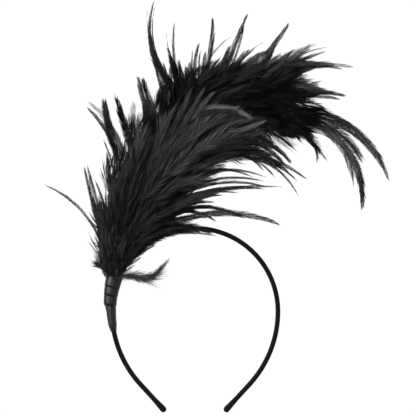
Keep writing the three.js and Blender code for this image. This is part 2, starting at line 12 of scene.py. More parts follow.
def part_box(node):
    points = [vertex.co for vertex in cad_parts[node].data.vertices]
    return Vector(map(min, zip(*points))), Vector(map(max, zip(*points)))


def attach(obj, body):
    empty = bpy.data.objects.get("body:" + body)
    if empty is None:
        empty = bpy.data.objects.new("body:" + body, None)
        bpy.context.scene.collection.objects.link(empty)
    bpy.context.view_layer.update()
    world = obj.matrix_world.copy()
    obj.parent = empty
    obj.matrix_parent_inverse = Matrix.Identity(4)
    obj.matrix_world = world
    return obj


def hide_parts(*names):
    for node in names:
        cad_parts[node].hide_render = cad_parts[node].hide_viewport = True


bl_info = {
    "name": "Feather Headband",
    "version": (1, 0, 0),
    "blender": (4, 5, 0),
    "location": "3D View > Sidebar > Headband",
    "description": "Builds a hair hoop with a bound spray of dyed feathers",
    "category": "Add Mesh",
}

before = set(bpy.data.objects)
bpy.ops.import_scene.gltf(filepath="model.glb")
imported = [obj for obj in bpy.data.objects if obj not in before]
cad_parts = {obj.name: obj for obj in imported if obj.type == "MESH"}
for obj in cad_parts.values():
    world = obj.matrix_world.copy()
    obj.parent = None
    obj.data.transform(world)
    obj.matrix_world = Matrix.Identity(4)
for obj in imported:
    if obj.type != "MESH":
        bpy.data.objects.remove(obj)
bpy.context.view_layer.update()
MM = 0.001
BAND_LOW, BAND_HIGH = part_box("band")


def table_of(kind, rows):
    return tuple(kind(*row) for row in rows)


# Spines of the two plumes: across, up and lift are shares of the spray's span, rise and depth, wide
# is the half width of the mass as a share of the plume's own, and thick its half depth as a share of
# the spray's depth.
Section = namedtuple("Section", "across up lift wide thick")
FRONT_SPINE = table_of(Section, (
    (0.004, 0.057, 0.23, 0.42, 0.07),
    (0.025, 0.121, 0.34, 0.62, 0.11),
    (0.055, 0.196, 0.48, 0.9, 0.16),
    (0.102, 0.279, 0.57, 1.06, 0.2),
    (0.164, 0.358, 0.6, 1.1, 0.22),
    (0.24, 0.43, 0.62, 1.05, 0.22),
    (0.331, 0.483, 0.62, 0.95, 0.2),
    (0.422, 0.513, 0.61, 0.82, 0.17),
    (0.487, 0.521, 0.6, 0.5, 0.11),
    (0.512, 0.521, 0.6, 0.18, 0.05),
))
REAR_SPINE = table_of(Section, (
    (0.003, 0.057, 0.09, 0.22, 0.04),
    (0.014, 0.14, 0.12, 0.5, 0.1),
    (0.036, 0.234, 0.15, 0.72, 0.15),
    (0.073, 0.328, 0.16, 0.84, 0.16),
    (0.12, 0.423, 0.165, 0.9, 0.165),
    (0.175, 0.506, 0.17, 0.92, 0.17),
    (0.247, 0.585, 0.17, 0.9, 0.17),
    (0.338, 0.645, 0.17, 0.88, 0.17),
    (0.44, 0.675, 0.17, 0.92, 0.17),
    (0.545, 0.683, 0.17, 1.08, 0.17),
    (0.64, 0.679, 0.165, 1.08, 0.16),
    (0.713, 0.668, 0.16, 0.88, 0.13),
    (0.77, 0.653, 0.15, 0.5, 0.08),
    (0.8, 0.645, 0.15, 0.18, 0.04),
))

# Feathers whose tips show: root is a share of the spine and out moves it to the right of it by a share
# of the mass's half width. The feather passes through its bend and ends at across, up and lift, all
# placed as above. wide is its width as a share of the full one, and fade is how far it turns pale grey,
# which stands partly for a lighter feather and partly for a painted highlight.
Feather = namedtuple("Feather", "root out bend_across bend_up across up lift wide fade", defaults=(0,))
FRONT_FEATHERS = table_of(Feather, (
    (0.05, -0.4, -0.106, 0.238, -0.237, 0.334, 0.5, 0.5, 0.45),
    (0.16, -0.3, -0.037, 0.297, -0.055, 0.349, 0.6, 0.45),
    (0.12, -0.4, -0.077, 0.312, -0.095, 0.397, 0.56, 0.65, 0.2),
    (0.15, -0.3, -0.062, 0.297, -0.085, 0.405, 0.48, 0.5),
    (0.2, -0.3, -0.007, 0.364, -0.014, 0.449, 0.62, 0.7),
    (0.27, -0.4, -0.006, 0.442, -0.026, 0.498, 0.5, 0.5),
    (0.28, -0.3, 0.012, 0.415, 0.016, 0.47, 0.7, 0.3),
    (0.2, -0.2, 0.077, 0.385, 0.084, 0.473, 0.82, 0.8),
    (0.27, -0.2, 0.112, 0.436, 0.141, 0.539, 0.82, 0.9),
    (0.34, -0.2, 0.172, 0.491, 0.218, 0.601, 0.8, 1, 0.35),
    (0.42, -0.2, 0.232, 0.561, 0.285, 0.682, 0.78, 1, 0.45),
    (0.5, -0.3, 0.278, 0.59, 0.331, 0.686, 0.8, 0.9, 0.5),
    (0.54, -0.3, 0.307, 0.604, 0.363, 0.67, 0.84, 0.9, 0.6),
    (0.64, -0.4, 0.363, 0.576, 0.455, 0.62, 0.8, 0.9, 0.55),
    (0.57, -0.5, 0.37, 0.604, 0.448, 0.602, 0.9, 0.8),
    (0.6, -0.75, 0.416, 0.614, 0.497, 0.578, 0.93, 0.9, 1),
    (0.7, -0.3, 0.42, 0.55, 0.497, 0.575, 0.84, 0.9, 0.6),
    (0.74, -0.2, 0.462, 0.534, 0.546, 0.567, 0.9, 0.7, 0.85),
    (0.48, 0.5, 0.321, 0.401, 0.421, 0.438, 0.5, 1.5),
    (0.76, 0, 0.473, 0.514, 0.54, 0.525, 0.76, 0.9, 0.5),
    (0.4, 0.5, 0.242, 0.327, 0.342, 0.375, 0.5, 1.6),
    (0.74, 0.2, 0.484, 0.489, 0.544, 0.481, 0.66, 0.9),
    (0.78, 0.1, 0.523, 0.514, 0.573, 0.492, 0.7, 0.8),
    (0.33, 0.5, 0.199, 0.279, 0.299, 0.331, 0.45, 1.6),
    (0.8, 0.2, 0.541, 0.504, 0.595, 0.467, 0.6, 0.9),
    (0.6, 0.5, 0.488, 0.438, 0.541, 0.39, 0.6, 0.6),
    (0.74, 0.3, 0.573, 0.478, 0.637, 0.419, 0.6, 0.9),
    (0.7, 0.35, 0.542, 0.475, 0.617, 0.412, 0.55, 0.8),
    (0.7, 0.35, 0.526, 0.446, 0.592, 0.397, 0.52, 0.55),
    (0.74, 0.3, 0.539, 0.449, 0.605, 0.393, 0.62, 0.5),
    (0.68, 0.35, 0.528, 0.457, 0.606, 0.394, 0.5, 0.8),
    (0.46, 0.5, 0.41, 0.39, 0.502, 0.364, 0.6, 0.5),
    (0.76, 0.25, 0.561, 0.453, 0.631, 0.397, 0.56, 0.5),
    (0.46, 0.5, 0.449, 0.388, 0.549, 0.364, 0.55, 0.45, 0.3),
    (0.7, 0.35, 0.576, 0.427, 0.634, 0.379, 0.55, 0.6),
    (0.62, 0.5, 0.509, 0.428, 0.581, 0.366, 0.6, 0.55),
    (0.42, 0.55, 0.428, 0.36, 0.542, 0.349, 0.5, 0.45),
    (0.66, 0.4, 0.571, 0.418, 0.66, 0.353, 0.5, 0.6),
    (0.78, 0.3, 0.615, 0.409, 0.696, 0.357, 0.5, 0.6),
    (0.3, 0.6, 0.371, 0.32, 0.506, 0.327, 0.52, 0.4),
    (0.36, 0.55, 0.41, 0.344, 0.552, 0.327, 0.55, 0.55),
    (0.34, 0.6, 0.399, 0.32, 0.499, 0.319, 0.6, 0.45),
    (0.33, 0.6, 0.421, 0.317, 0.606, 0.327, 0.5, 0.45, 0.35),
    (0.32, 0.6, 0.463, 0.324, 0.542, 0.32, 0.5, 0.6, 0.4),
    (0.31, 0.6, 0.356, 0.307, 0.449, 0.305, 0.6, 0.5),
    (0.28, 0.6, 0.321, 0.286, 0.395, 0.297, 0.55, 0.55),
    (0.27, 0.5, 0.177, 0.234, 0.274, 0.286, 0.4, 1.6),
    (0.66, 0.5, 0.58, 0.4, 0.668, 0.297, 0.45, 0.5),
    (0.25, 0.7, 0.303, 0.268, 0.367, 0.271, 0.5, 0.6),
    (0.22, 0.7, 0.292, 0.249, 0.353, 0.26, 0.5, 0.55),
    (0.2, 0.7, 0.417, 0.229, 0.596, 0.19, 0.46, 1, 0.55),
    (0.2, 0.6, 0.374, 0.249, 0.471, 0.216, 0.5, 0.6),
    (0.2, 0.65, 0.263, 0.245, 0.342, 0.249, 0.45, 0.6),
    (0.2, 0.7, 0.338, 0.253, 0.435, 0.223, 0.4, 0.6),
    (0.18, 0.75, 0.317, 0.229, 0.371, 0.201, 0.45, 0.6),
    (0.16, 0.7, 0.267, 0.216, 0.335, 0.212, 0.5, 0.5),
    (0.08, 0.6, 0.205, 0.148, 0.371, 0.145, 0.3, 0.5),
    (0.15, 0.6, 0.188, 0.194, 0.285, 0.205, 0.5, 0.8),
    (0.12, 0.6, 0.17, 0.156, 0.256, 0.178, 0.42, 0.8),
    (0.05, 0.5, 0.097, 0.081, 0.148, 0.107, 0.3, 0.6),
    (0.02, 0.4, 0.061, 0.036, 0.1, 0.062, 0.26, 0.5),
    (0.01, 0.3, 0.039, 0.009, 0.071, 0.028, 0.22, 0.4),
    (0.01, -0.2, -0.03, 0.024, -0.054, 0.032, 0.2, 0.4),
    (0.02, -0.3, -0.033, 0.051, -0.051, 0.088, 0.24, 0.35),
    (0.04, -0.3, -0.042, 0.149, -0.06, 0.216, 0.4, 0.45),
))
REAR_FEATHERS = table_of(Feather, (
    (0.24, -0.2, -0.023, 0.539, -0.088, 0.622, 0.2, 0.75, 0.35),
    (0.38, -0.1, 0.097, 0.548, 0.1, 0.601, 0.24, 0.7, 0.95),
    (0.25, -0.2, -0.016, 0.571, -0.082, 0.643, 0.2, 0.8, 0.95),
    (0.28, -0.2, -0.016, 0.574, -0.027, 0.641, 0.3, 1.25, 0.35),
    (0.33, -0.2, 0.046, 0.545, 0.019, 0.649, 0.26, 1.15),
    (0.36, -0.1, 0.074, 0.568, 0.078, 0.636, 0.16, 0.9, 0.95),
    (0.42, -0.4, 0.126, 0.555, 0.119, 0.626, 0.3, 1.2, 0.3),
    (0.46, -0.4, 0.155, 0.57, 0.146, 0.63, 0.3, 1.2, 0.4),
    (0.47, -0.6, 0.169, 0.586, 0.176, 0.672, 0.24, 0.9),
    (0.44, -0.1, 0.116, 0.643, 0.094, 0.733, 0.16, 0.85, 0.4),
    (0.46, -0.1, 0.131, 0.664, 0.113, 0.724, 0.28, 1),
    (0.5, 0, 0.18, 0.634, 0.175, 0.701, 0.3, 0.5),
    (0.46, -0.5, 0.169, 0.6, 0.187, 0.693, 0.3, 1.2),
    (0.49, -0.35, 0.187, 0.623, 0.18, 0.716, 0.3, 0.9, 0.3),
    (0.52, -0.3, 0.202, 0.626, 0.205, 0.708, 0.3, 1),
    (0.53, -0.3, 0.22, 0.634, 0.22, 0.716, 0.3, 1),
    (0.53, -0.1, 0.176, 0.765, 0.144, 0.825, 0.24, 0.3),
    (0.5, -0.2, 0.16, 0.762, 0.145, 0.834, 0.2, 0.45, 0.1),
    (0.54, -0.1, 0.205, 0.723, 0.187, 0.779, 0.3, 0.8),
    (0.54, 0, 0.219, 0.694, 0.209, 0.769, 0.26, 0.6),
    (0.55, -0.2, 0.234, 0.716, 0.216, 0.783, 0.3, 0.9),
    (0.58, -0.1, 0.136, 0.874, 0.126, 0.986, 0.26, 0.25, 0.5),
    (0.56, -0.1, 0.223, 0.777, 0.201, 0.844, 0.22, 0.7),
    (0.57, -0.1, 0.256, 0.723, 0.241, 0.791, 0.3, 0.8),
    (0.57, -0.1, 0.205, 0.837, 0.194, 0.905, 0.2, 0.22, 0.6),
    (0.585, -0.1, 0.15, 0.865, 0.152, 1, 0.14, 0.3, 0.45),
    (0.57, -0.1, 0.138, 0.871, 0.15, 1.021, 0.2, 0.7, 0.5),
    (0.58, -0.1, 0.273, 0.71, 0.27, 0.77, 0.2, 0.9),
    (0.56, -0.1, 0.221, 0.847, 0.224, 0.944, 0.12, 0.5, 0.35),
    (0.59, 0, 0.284, 0.74, 0.28, 0.789, 0.2, 0.7, 0.12),
    (0.6, 0, 0.288, 0.777, 0.29, 0.837, 0.2, 0.35, 0.42),
    (0.6, 0, 0.3, 0.792, 0.313, 0.863, 0.22, 0.6, 0.12),
    (0.61, 0, 0.313, 0.785, 0.318, 0.837, 0.2, 0.4, 0.12),
    (0.6, 0, 0.328, 0.761, 0.335, 0.824, 0.3, 0.7, 0.12),
    (0.58, -0.3, 0.355, 0.846, 0.362, 0.955, 0.16, 0.8, 0.12),
    (0.62, -0.2, 0.349, 0.777, 0.378, 0.8, 0.2, 0.6, 0.32),
    (0.6, -0.2, 0.385, 0.852, 0.428, 0.889, 0.22, 0.24, 0.52),
    (0.62, -0.1, 0.399, 0.783, 0.421, 0.847, 0.3, 0.8, 0.52),
    (0.64, -0.1, 0.418, 0.784, 0.436, 0.836, 0.26, 0.9, 0.42),
    (0.64, -0.2, 0.437, 0.852, 0.486, 0.971, 0.24, 0.7, 0.12),
    (0.64, -0.1, 0.447, 0.823, 0.476, 0.932, 0.18, 0.4, 0.12),
    (0.66, -0.1, 0.457, 0.792, 0.49, 0.837, 0.2, 0.7, 0.47),
    (0.66, -0.1, 0.457, 0.791, 0.511, 0.84, 0.26, 0.36, 0.12),
    (0.68, 0, 0.487, 0.828, 0.545, 0.871, 0.1, 0.26, 0.52),
    (0.68, 0, 0.479, 0.753, 0.525, 0.809, 0.3, 0.9, 0.52),
    (0.71, 0, 0.565, 0.814, 0.605, 0.9, 0.26, 0.36, 0.2),
    (0.7, -0.2, 0.501, 0.799, 0.558, 0.833, 0.24, 0.8, 0.42),
    (0.7, -0.1, 0.566, 0.834, 0.634, 0.935, 0.2, 0.85, 0.5),
    (0.72, 0, 0.543, 0.768, 0.605, 0.817, 0.3, 0.9, 0.7),
    (0.75, -0.1, 0.581, 0.782, 0.656, 0.842, 0.16, 0.6, 0.65),
    (0.78, -0.2, 0.623, 0.785, 0.699, 0.833, 0.22, 0.55, 0.65),
    (0.78, -0.2, 0.675, 0.834, 0.74, 0.864, 0.16, 0.3, 0.9),
    (0.8, -0.3, 0.7, 0.831, 0.776, 0.853, 0.16, 0.3, 0.9),
    (0.8, -0.3, 0.674, 0.799, 0.767, 0.833, 0.24, 0.5, 0.7),
    (0.72, 0.1, 0.536, 0.709, 0.623, 0.724, 0.26, 1.4),
    (0.84, -0.2, 0.666, 0.748, 0.713, 0.768, 0.3, 0.8, 0.5),
    (0.85, -0.1, 0.666, 0.733, 0.706, 0.745, 0.26, 0.4, 0.8),
    (0.82, -0.3, 0.709, 0.787, 0.781, 0.783, 0.3, 0.6, 0.65),
    (0.86, 0, 0.667, 0.716, 0.703, 0.721, 0.2, 0.6, 0.75),
    (0.82, -0.4, 0.757, 0.783, 0.826, 0.77, 0.2, 0.6, 0.7),
    (0.86, -0.2, 0.684, 0.727, 0.731, 0.716, 0.3, 0.4, 0.8),
    (0.82, -0.5, 0.798, 0.786, 0.867, 0.779, 0.14, 0.6, 0.75),
    (0.88, 0, 0.699, 0.702, 0.753, 0.691, 0.24, 0.5, 0.75),
    (0.76, 0.2, 0.58, 0.664, 0.67, 0.653, 0.24, 1.5),
    (0.88, -0.1, 0.745, 0.69, 0.803, 0.683, 0.26, 0.4, 0.65),
    (0.86, 0, 0.76, 0.683, 0.836, 0.67, 0.22, 0.7, 0.2),
    (0.88, 0.1, 0.758, 0.67, 0.812, 0.662, 0.14, 0.4, 0.2),
    (0.88, 0.1, 0.747, 0.666, 0.82, 0.658, 0.14, 0.5, 0.55),
    (0.9, 0.2, 0.714, 0.643, 0.764, 0.624, 0.2, 0.5, 0.5),
    (0.88, 0.4, 0.74, 0.624, 0.787, 0.598, 0.16, 0.4),
    (0.68, 0.5, 0.522, 0.593, 0.598, 0.567, 0.24, 1.5),
    (0.78, 0.6, 0.667, 0.59, 0.746, 0.568, 0.2, 1.2),
    (0.74, 0.5, 0.594, 0.579, 0.67, 0.549, 0.22, 1.5),
    (0.88, 0.7, 0.71, 0.557, 0.761, 0.545, 0.18, 0.8),
    (0.8, 0.55, 0.646, 0.557, 0.714, 0.531, 0.16, 1.3),
    (0.66, 0.75, 0.515, 0.575, 0.613, 0.53, 0.2, 1.4),
    (0.89, 0.5, 0.862, 0.557, 0.92, 0.5, 0.18, 0.9, 0.45),
    (0.84, 0.7, 0.631, 0.538, 0.678, 0.519, 0.14, 0.9),
    (0.8, 0.7, 0.594, 0.552, 0.652, 0.519, 0.22, 0.9),
    (0.84, 0.7, 0.674, 0.549, 0.703, 0.511, 0.2, 0.9),
    (0.9, 0.6, 0.761, 0.549, 0.801, 0.5, 0.16, 0.8, 0.85),
    (0.76, 0.8, 0.559, 0.546, 0.606, 0.519, 0.16, 0.9),
    (0.72, 0.8, 0.515, 0.56, 0.565, 0.522, 0.24, 0.9),
    (0.74, 0.8, 0.541, 0.535, 0.577, 0.505, 0.1, 0.4),
    (0.88, 0.5, 0.837, 0.519, 0.899, 0.433, 0.16, 1.1, 0.6),
    (0.88, 0.5, 0.895, 0.507, 0.972, 0.402, 0.26, 0.75, 0.65),
    (0.86, 0.8, 0.722, 0.49, 0.774, 0.425, 0.26, 0.42),
    (0.86, 0.6, 0.89, 0.53, 0.995, 0.358, 0.22, 0.9, 0.65),
    (0.87, 0.8, 0.729, 0.489, 0.74, 0.422, 0.14, 0.5),
    (0.9, 0.7, 0.818, 0.5, 0.872, 0.373, 0.24, 1.7, 0.95),
    (0.9, 0.6, 0.874, 0.422, 0.903, 0.253, 0.12, 1.15, 0.5),
    (0.31, -0.2, 0.034, 0.474, 0.02, 0.531, 0.14, 0.35),
))

# The downy feather's shaft, as shares of its length from the binding's mouth.
DOWN_SHAFT = (
    (0, -0.05, 0),
    (0.27, -0.025, 0.02),
    (0.5, -0.055, 0.06),
    (0.71, -0.015, 0.1),
    (0.86, 0.12, 0.13),
    (1, 0.27, 0.15),
)

# Finer sizes that nobody would change by hand.
COVER_STEP = 0.7 * MM
COVER_SIDES = 24
RIB_HEIGHT = 0.12 * MM
COVER_GAUGE = 0.15 * MM
SLEEVE_RINGS = 80
SLEEVE_SIDES = 56
STRIP_SIDES = 48
STRIP_ROWS = 6
RIBBON_GAUGE = 0.12 * MM
WOUND_TURNS = 3
STRIP_START = math.radians(200)  # under the hoop, so that the turns climb there and run level on top
LEAST_HEIGHT = 0.15 * MM
RISE_START = 7 * MM  # how far outside the hoop the feathers start to rise, to pass over it
RISE_END = 2 * MM
PARTING_UP = 0.217
PARTING_LIFT = 0.362
SHAFT_ROOM = 0.6 * MM  # how far a shaft's middle keeps from what bounds its layer
BODY_FEATHER = 44 * MM
BODY_LEAN = math.radians(44)  # how far the outermost body feathers turn away from the spine
MOUTH_FEATHERS = 36
MOUTH_LENGTHS = (8, 14)  # in mm, the shortest and the longest
MOUTH_FAN = math.radians(28)
HEM_FEATHERS = 30
HEM_LENGTHS = (20, 32)  # in mm, the shortest and the longest
HEM_REACH = 54 * MM
PALEST_TONE = 2.2  # the tone of a wholly pale feather, which is partly its own colour and partly painted highlight
PALE_FROM = 1.2  # the tone from which the feather turns pale grey, partly its own colour and partly painted highlight
STEMS = 7
CORE_RINGS = 24
CORE_SIDES = 14
DOWN_TUFTS = 11
DOWN_BARB = 6.5 * MM
DOWN_DROOP = (-3, 2)  # in mm, how far a tuft's end leaves the shaft to one side or the other
REAR_SEED = 11
FRONT_SEED = 23
DOWN_SEED = 5
PATCH_SIZE = 12 * MM
SATIN_THREAD = 0.5 * MM

# The stage, in metres and watts.
FLOOR_HALF = 1.5
LENS = 180
SENSOR = 36
VIEW_WIDTH = 0.3328
VIEW_CENTRE = (-0.00744, 0.00181)
WORLD_LIGHT = 0.16  # the strength of the even light from all sides
SOFT_BOXES = (
    ("key_light", (-0.8, 0.7, 1.5), 1.2, 39),
    ("fill_light", (1.1, -0.7, 1.3), 1.6, 4),
)

# The half width of a vane along its feather, root to tip: a pointed hackle, a soft body feather and down.
HACKLE = ((0, 0.6), (0.3, 1), (0.6, 1), (0.85, 0.7), (0.95, 0.42), (1, 0.12))
SOFT = ((0, 0.5), (0.2, 1), (0.6, 1), (0.85, 0.75), (1, 0.4))
DOWNY = ((0, 0.3), (0.1, 0.9), (0.3, 1), (0.55, 0.8), (0.8, 0.35), (1, 0.12))

# Along the binding: how far the stems fill it, and where the ribbon's turns end.
STEM_FILL = (
    (0, 0.95),
    (0.22, 0.68),
    (0.36, 0.53),
    (0.52, 0.42),
    (0.55, 0.32),
    (0.64, 0.16),
    (0.8, 0.06),
    (1, 0),
)
TURN_ENDS = ((0, 0.03), (1, 0.22), (2, 0.37), (3, 0.54), (4, 0.66))


def length(name, description, default):
    return bpy.props.FloatProperty(
        name=name, description=description, default=default, unit="LENGTH", precision=4
    )


def angle(name, description, degrees):
    return bpy.props.FloatProperty(
        name=name, description=description, default=math.radians(degrees), subtype="ANGLE"
    )


def number(name, description, default):
    return bpy.props.IntProperty(name=name, description=description, default=default, min=0)


def colour(name, description, default):
    return bpy.props.FloatVectorProperty(
        name=name, description=description, default=from_hex(default), subtype="COLOR", size=3, min=0, max=1
    )


def from_hex(code):
    """An sRGB hex colour as linear red, green and blue."""
    channels = [int(code[i : i + 2], 16) / 255 for i in (1, 3, 5)]
    return tuple(c / 12.92 if c <= 0.04045 else ((c + 0.055) / 1.055) ** 2.4 for c in channels)


class HoopSizes(bpy.types.PropertyGroup):
    crown_radius: length("Crown radius", "Radius of the hoop's centre line over the crown", 66.2 * MM)
    leg_radius: length("Leg radius", "Radius of the hoop's sides below the crown", 86 * MM)
    leg_turn: angle("Leg turn", "How far each side turns in", 42.5)
    end_straight: length("Straight ends", "Length of each straight end", 29.5 * MM)
    thickness: length("Thickness", "Band thickness in the hoop's plane", 3.7 * MM)
    width: length("Width", "Band width along the hoop's axis", 6 * MM)
    end_thickness: length("End thickness", "Thickness of the flared ends", 4.9 * MM)
    end_width: length("End width", "Width of the flared ends", 8.6 * MM)
    flare: length("Flare", "Length over which an end flares", 15 * MM)
    cord_pitch: length("Cord pitch", "Spacing of the cover's diagonal ribs", 1.3 * MM)
    cover: colour("Cover", "Colour of the hoop's fabric", "#0f0f11")


class BindingSizes(bpy.types.PropertyGroup):
    mouth_angle: angle("Mouth angle", "Mouth's place above the hoop's widest point", 24.3)
    length: length("Length", "Length along the hoop", 44 * MM)
    stems: length("Stems", "Thickness of the stems in the mouth", 7.4 * MM)
    wall: length("Wall", "Thickness of the wound ribbon", 1 * MM)
    ribbon_width: length("Ribbon width", "Width of the satin ribbon", 12.7 * MM)
    lap: length("Lap", "How far a turn's lower edge stands out", 0.42 * MM)
    clearance: length("Clearance", "Gap between the hoop and the stems", 0.3 * MM)
    satin: colour("Satin", "Colour of the ribbon", "#0c0c0e")


class SpraySizes(bpy.types.PropertyGroup):
    span: length("Span", "Spray's reach to the right of the binding", 220 * MM)
    rise: length("Rise", "Spray's reach above the binding", 212 * MM)
    depth: length("Depth", "Spray's height off the surface", 58 * MM)
    front_mass: length("Front plume", "Half width of the front plume", 27 * MM)
    rear_mass: length("Rear plume", "Half width of the rear plume", 30 * MM)
    feather_width: length("Feather width", "Full width of a pointed feather's vane", 9 * MM)
    body_vane: length("Body vane", "Full width of a soft body feather's vane", 17 * MM)
    quill: length("Quill", "Radius of a feather's shaft at its root", 0.45 * MM)
    down_length: length("Down length", "Length of the downy feather", 45 * MM)
    barb_spacing: length("Barb spacing", "Distance between barbs along a shaft", 0.85 * MM)
    body_feathers: number("Body feathers", "Soft feathers round each spine", 170)
    fillers: number("Fillers", "Inner feathers in each plume", 90)
    # dark is the black dye, and the rear plume's lowered tones use it as painted shade; light is a grey that
    # is partly random tone and partly painted sheen; pale is a paler grey that is partly lighter feathers and
    # partly painted highlight.
    dark: colour("Dark", "Colour of the feathers in their depth", "#080808")
    light: colour("Light", "Colour of the feathers' worn barbs", "#2e2e2f")
    pale: colour("Pale", "Colour of the few faded feathers", "#808081")


# Half the turn of one flat of the solid hoop, which the frame's box is measured on.
CROWN_FACET = math.radians(3.75)
BAND_MIDDLE = (BAND_LOW.z + BAND_HIGH.z) / 2


def read(table, share):
    """A table's second column where its first is share, with straight lines between the rows."""
    for (a, low), (b, high) in zip(table, table[1:]):
        if share <= b:
            return low + (high - low) * max(0, share - a) / (b - a)
    return table[-1][1]


def smooth_step(value, low, high):
    t = min(1, max(0, (value - low) / (high - low)))
    return t * t * (3 - 2 * t)


def blend(a, b, share):
    return a + (b - a) * share


def hoop_origin(hoop):
    """The middle of the hoop's centre line over the crown, level with the surface."""
    outer = hoop.crown_radius + hoop.thickness / 2
    across = (BAND_LOW.x + BAND_HIGH.x) / 2
    return Vector((across, BAND_HIGH.y - outer * math.cos(CROWN_FACET) + hoop.crown_radius, 0))


def half_hoop(hoop):
    return hoop.crown_radius * math.pi / 2 + hoop.leg_radius * hoop.leg_turn + hoop.end_straight


def hoop_at(hoop, distance):
    """A point of the hoop's centre line and its outward normal; left of the crown is negative."""
    crown = hoop.crown_radius * math.pi / 2
    leg = hoop.leg_radius * hoop.leg_turn
    reach = abs(distance)
    if reach < crown:
        turn = reach / hoop.crown_radius
        normal = Vector((math.sin(turn), math.cos(turn), 0))
        point = normal * hoop.crown_radius - Vector((0, hoop.crown_radius, 0))
    else:
        turn = math.pi / 2 + min(reach - crown, leg) / hoop.leg_radius
        normal = Vector((math.sin(turn), math.cos(turn), 0))
        point = normal * hoop.leg_radius + Vector((hoop.crown_radius - hoop.leg_radius, -hoop.crown_radius, 0))
        point += Vector((normal.y, -normal.x, 0)) * max(0, reach - crown - leg)
    if distance < 0:
        point.x, normal.x = -point.x, -normal.x
    return hoop_origin(hoop) + point + Vector((0, 0, BAND_MIDDLE)), normal


def binding_at(hoop, binding, share):
    mouth = -hoop.crown_radius * (math.pi / 2 - binding.mouth_angle)
    return hoop_at(hoop, mouth - binding.length * share)


def mouth_point(hoop, binding):
    """The middle of the stems in the binding's mouth, from which the spray is measured."""
    point, normal = binding_at(hoop, binding, 0)
    return point + normal * (hoop.thickness / 2 + binding.clearance + binding.stems / 2)


# Nodes, trees and meshes.


def socket_of(sockets, key):
    return sockets[key] if isinstance(key, int) else next(s for s in sockets if s.name == key and s.enabled)


def fill(tree, node, inputs):
    """Gives each named or numbered input of a node its value, or links a node or an output to it."""
    for key, value in inputs.items():
        socket = socket_of(node.inputs, key)
        if isinstance(value, bpy.types.Node):
            value = next(s for s in value.outputs if s.enabled)
        if isinstance(value, bpy.types.NodeSocket):
            tree.links.new(value, socket)
        else:
            socket.default_value = value


def put(tree, kind, inputs=None, **settings):
    """Adds a node, sets its properties and fills its inputs."""
    node = tree.nodes.new(kind)
    for name, value in settings.items():
        setattr(node, name, value)
    fill(tree, node, inputs or {})
    return node


def math_node(tree, operation, *inputs):
    return put(tree, "ShaderNodeMath", dict(enumerate(inputs)), operation=operation)


def spread(tree, value, low, high, **limits):
    """A value between limits, 0 and 1 unless others are given, spread from low to high."""
    return put(tree, "ShaderNodeMapRange", {"Value": value, "To Min": low, "To Max": high, **limits})


def new_tree(name, inputs):
    """A geometry tree with named inputs, each a socket kind and a default; returns it and its inlet."""
    tree = bpy.data.node_groups.new(name, "GeometryNodeTree")
    tree.interface.new_socket(name="Geometry", in_out="OUTPUT", socket_type="NodeSocketGeometry")
    tree.interface.new_socket(name="Geometry", in_out="INPUT", socket_type="NodeSocketGeometry")
    for label, (kind, default) in inputs.items():
        socket = tree.interface.new_socket(name=label, in_out="INPUT", socket_type="NodeSocket" + kind)
        if default is not None:
            socket.default_value = default
    return tree, tree.nodes.new("NodeGroupInput")


def grow(piece, tree, values):
    """Runs a geometry tree on a piece with these input values, and keeps the result as a plain mesh."""
    modifier = piece.modifiers.new(tree.name, "NODES")
    modifier.node_group = tree
    for item in tree.interface.items_tree:
        if item.in_out == "INPUT" and item.name in values:
            modifier[item.identifier] = values[item.name]
    view = bpy.context.evaluated_depsgraph_get()
    mesh = bpy.data.meshes.new_from_object(
        piece.evaluated_get(view), preserve_all_data_layers=True, depsgraph=view
    )
    piece.modifiers.clear()
    piece.data = mesh
    return piece


def new_piece(name, places, edges=(), faces=()):
    mesh = bpy.data.meshes.new(name)
    mesh.from_pydata([tuple(p) for p in places], edges, faces)
    piece = bpy.data.objects.new(name, mesh)
    bpy.context.scene.collection.objects.link(piece)
    return piece


def set_values(mesh, name, values, kind="FLOAT"):
    """Stores one value a point on a mesh, for its material and its tree to read."""
    column = mesh.attributes.new(name, kind, "POINT")
    if kind == "FLOAT_VECTOR":
        column.data.foreach_set("vector", [n for v in values for n in v])
    else:
        column.data.foreach_set("value", values)


def hand_over(piece, node):
    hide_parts(node)
    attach(piece, "root")


def ring_faces(rings, sides, closed):
    """Faces between rings of points that run the same way round, with ends capped unless it closes."""
    faces = []
    for r in range(rings if closed else rings - 1):
        for i in range(sides):
            a, b = r * sides + i, r * sides + (i + 1) % sides
            c, d = (a + sides) % (rings * sides), (b + sides) % (rings * sides)
            faces.append((a, b, d, c))
    if not closed:
        faces.append(tuple(reversed(range(sides))))
        faces.append(tuple(range((rings - 1) * sides, rings * sides)))
    return faces


def face_outwards(mesh):
    """Turns a closed mesh's faces so that they point out."""
    shape = bmesh.new()
    shape.from_mesh(mesh)
    bmesh.ops.remove_doubles(shape, verts=shape.verts, dist=1e-6)
    bmesh.ops.recalc_face_normals(shape, faces=shape.faces)
    if shape.calc_volume(signed=True) < 0:
        bmesh.ops.reverse_faces(shape, faces=shape.faces)
    shape.to_mesh(mesh)
    shape.free()


# Finishes.


def new_finish(name):
    """A material with an empty Principled shader, and its tree."""
    finish = bpy.data.materials.new(name)
    finish.use_nodes = True
    return finish, finish.node_tree, finish.node_tree.nodes["Principled BSDF"]


def carried(tree, name):
    """A value that the mesh's points carry for their material."""
    return put(tree, "ShaderNodeAttribute", attribute_name=name).outputs["Fac"]


def grain(tree, size, detail=2.0):
    """Noise with lumps of about this size, fixed to the piece."""
    place = put(tree, "ShaderNodeTexCoord").outputs["Object"]
    inputs = {"Vector": place, "Scale": 1 / size, "Detail": detail}
    return put(tree, "ShaderNodeTexNoise", inputs).outputs["Fac"]


def mixed(tree, factor, first, second, **settings):
    """Two colours mixed by a factor."""
    inputs = {"Factor": factor, "A": first, "B": second}
    return put(tree, "ShaderNodeMix", inputs, data_type="RGBA", **settings).outputs[2]


def bump(tree, height, strength, depth):
    return put(tree, "ShaderNodeBump", {"Height": height, "Strength": strength, "Distance": depth})


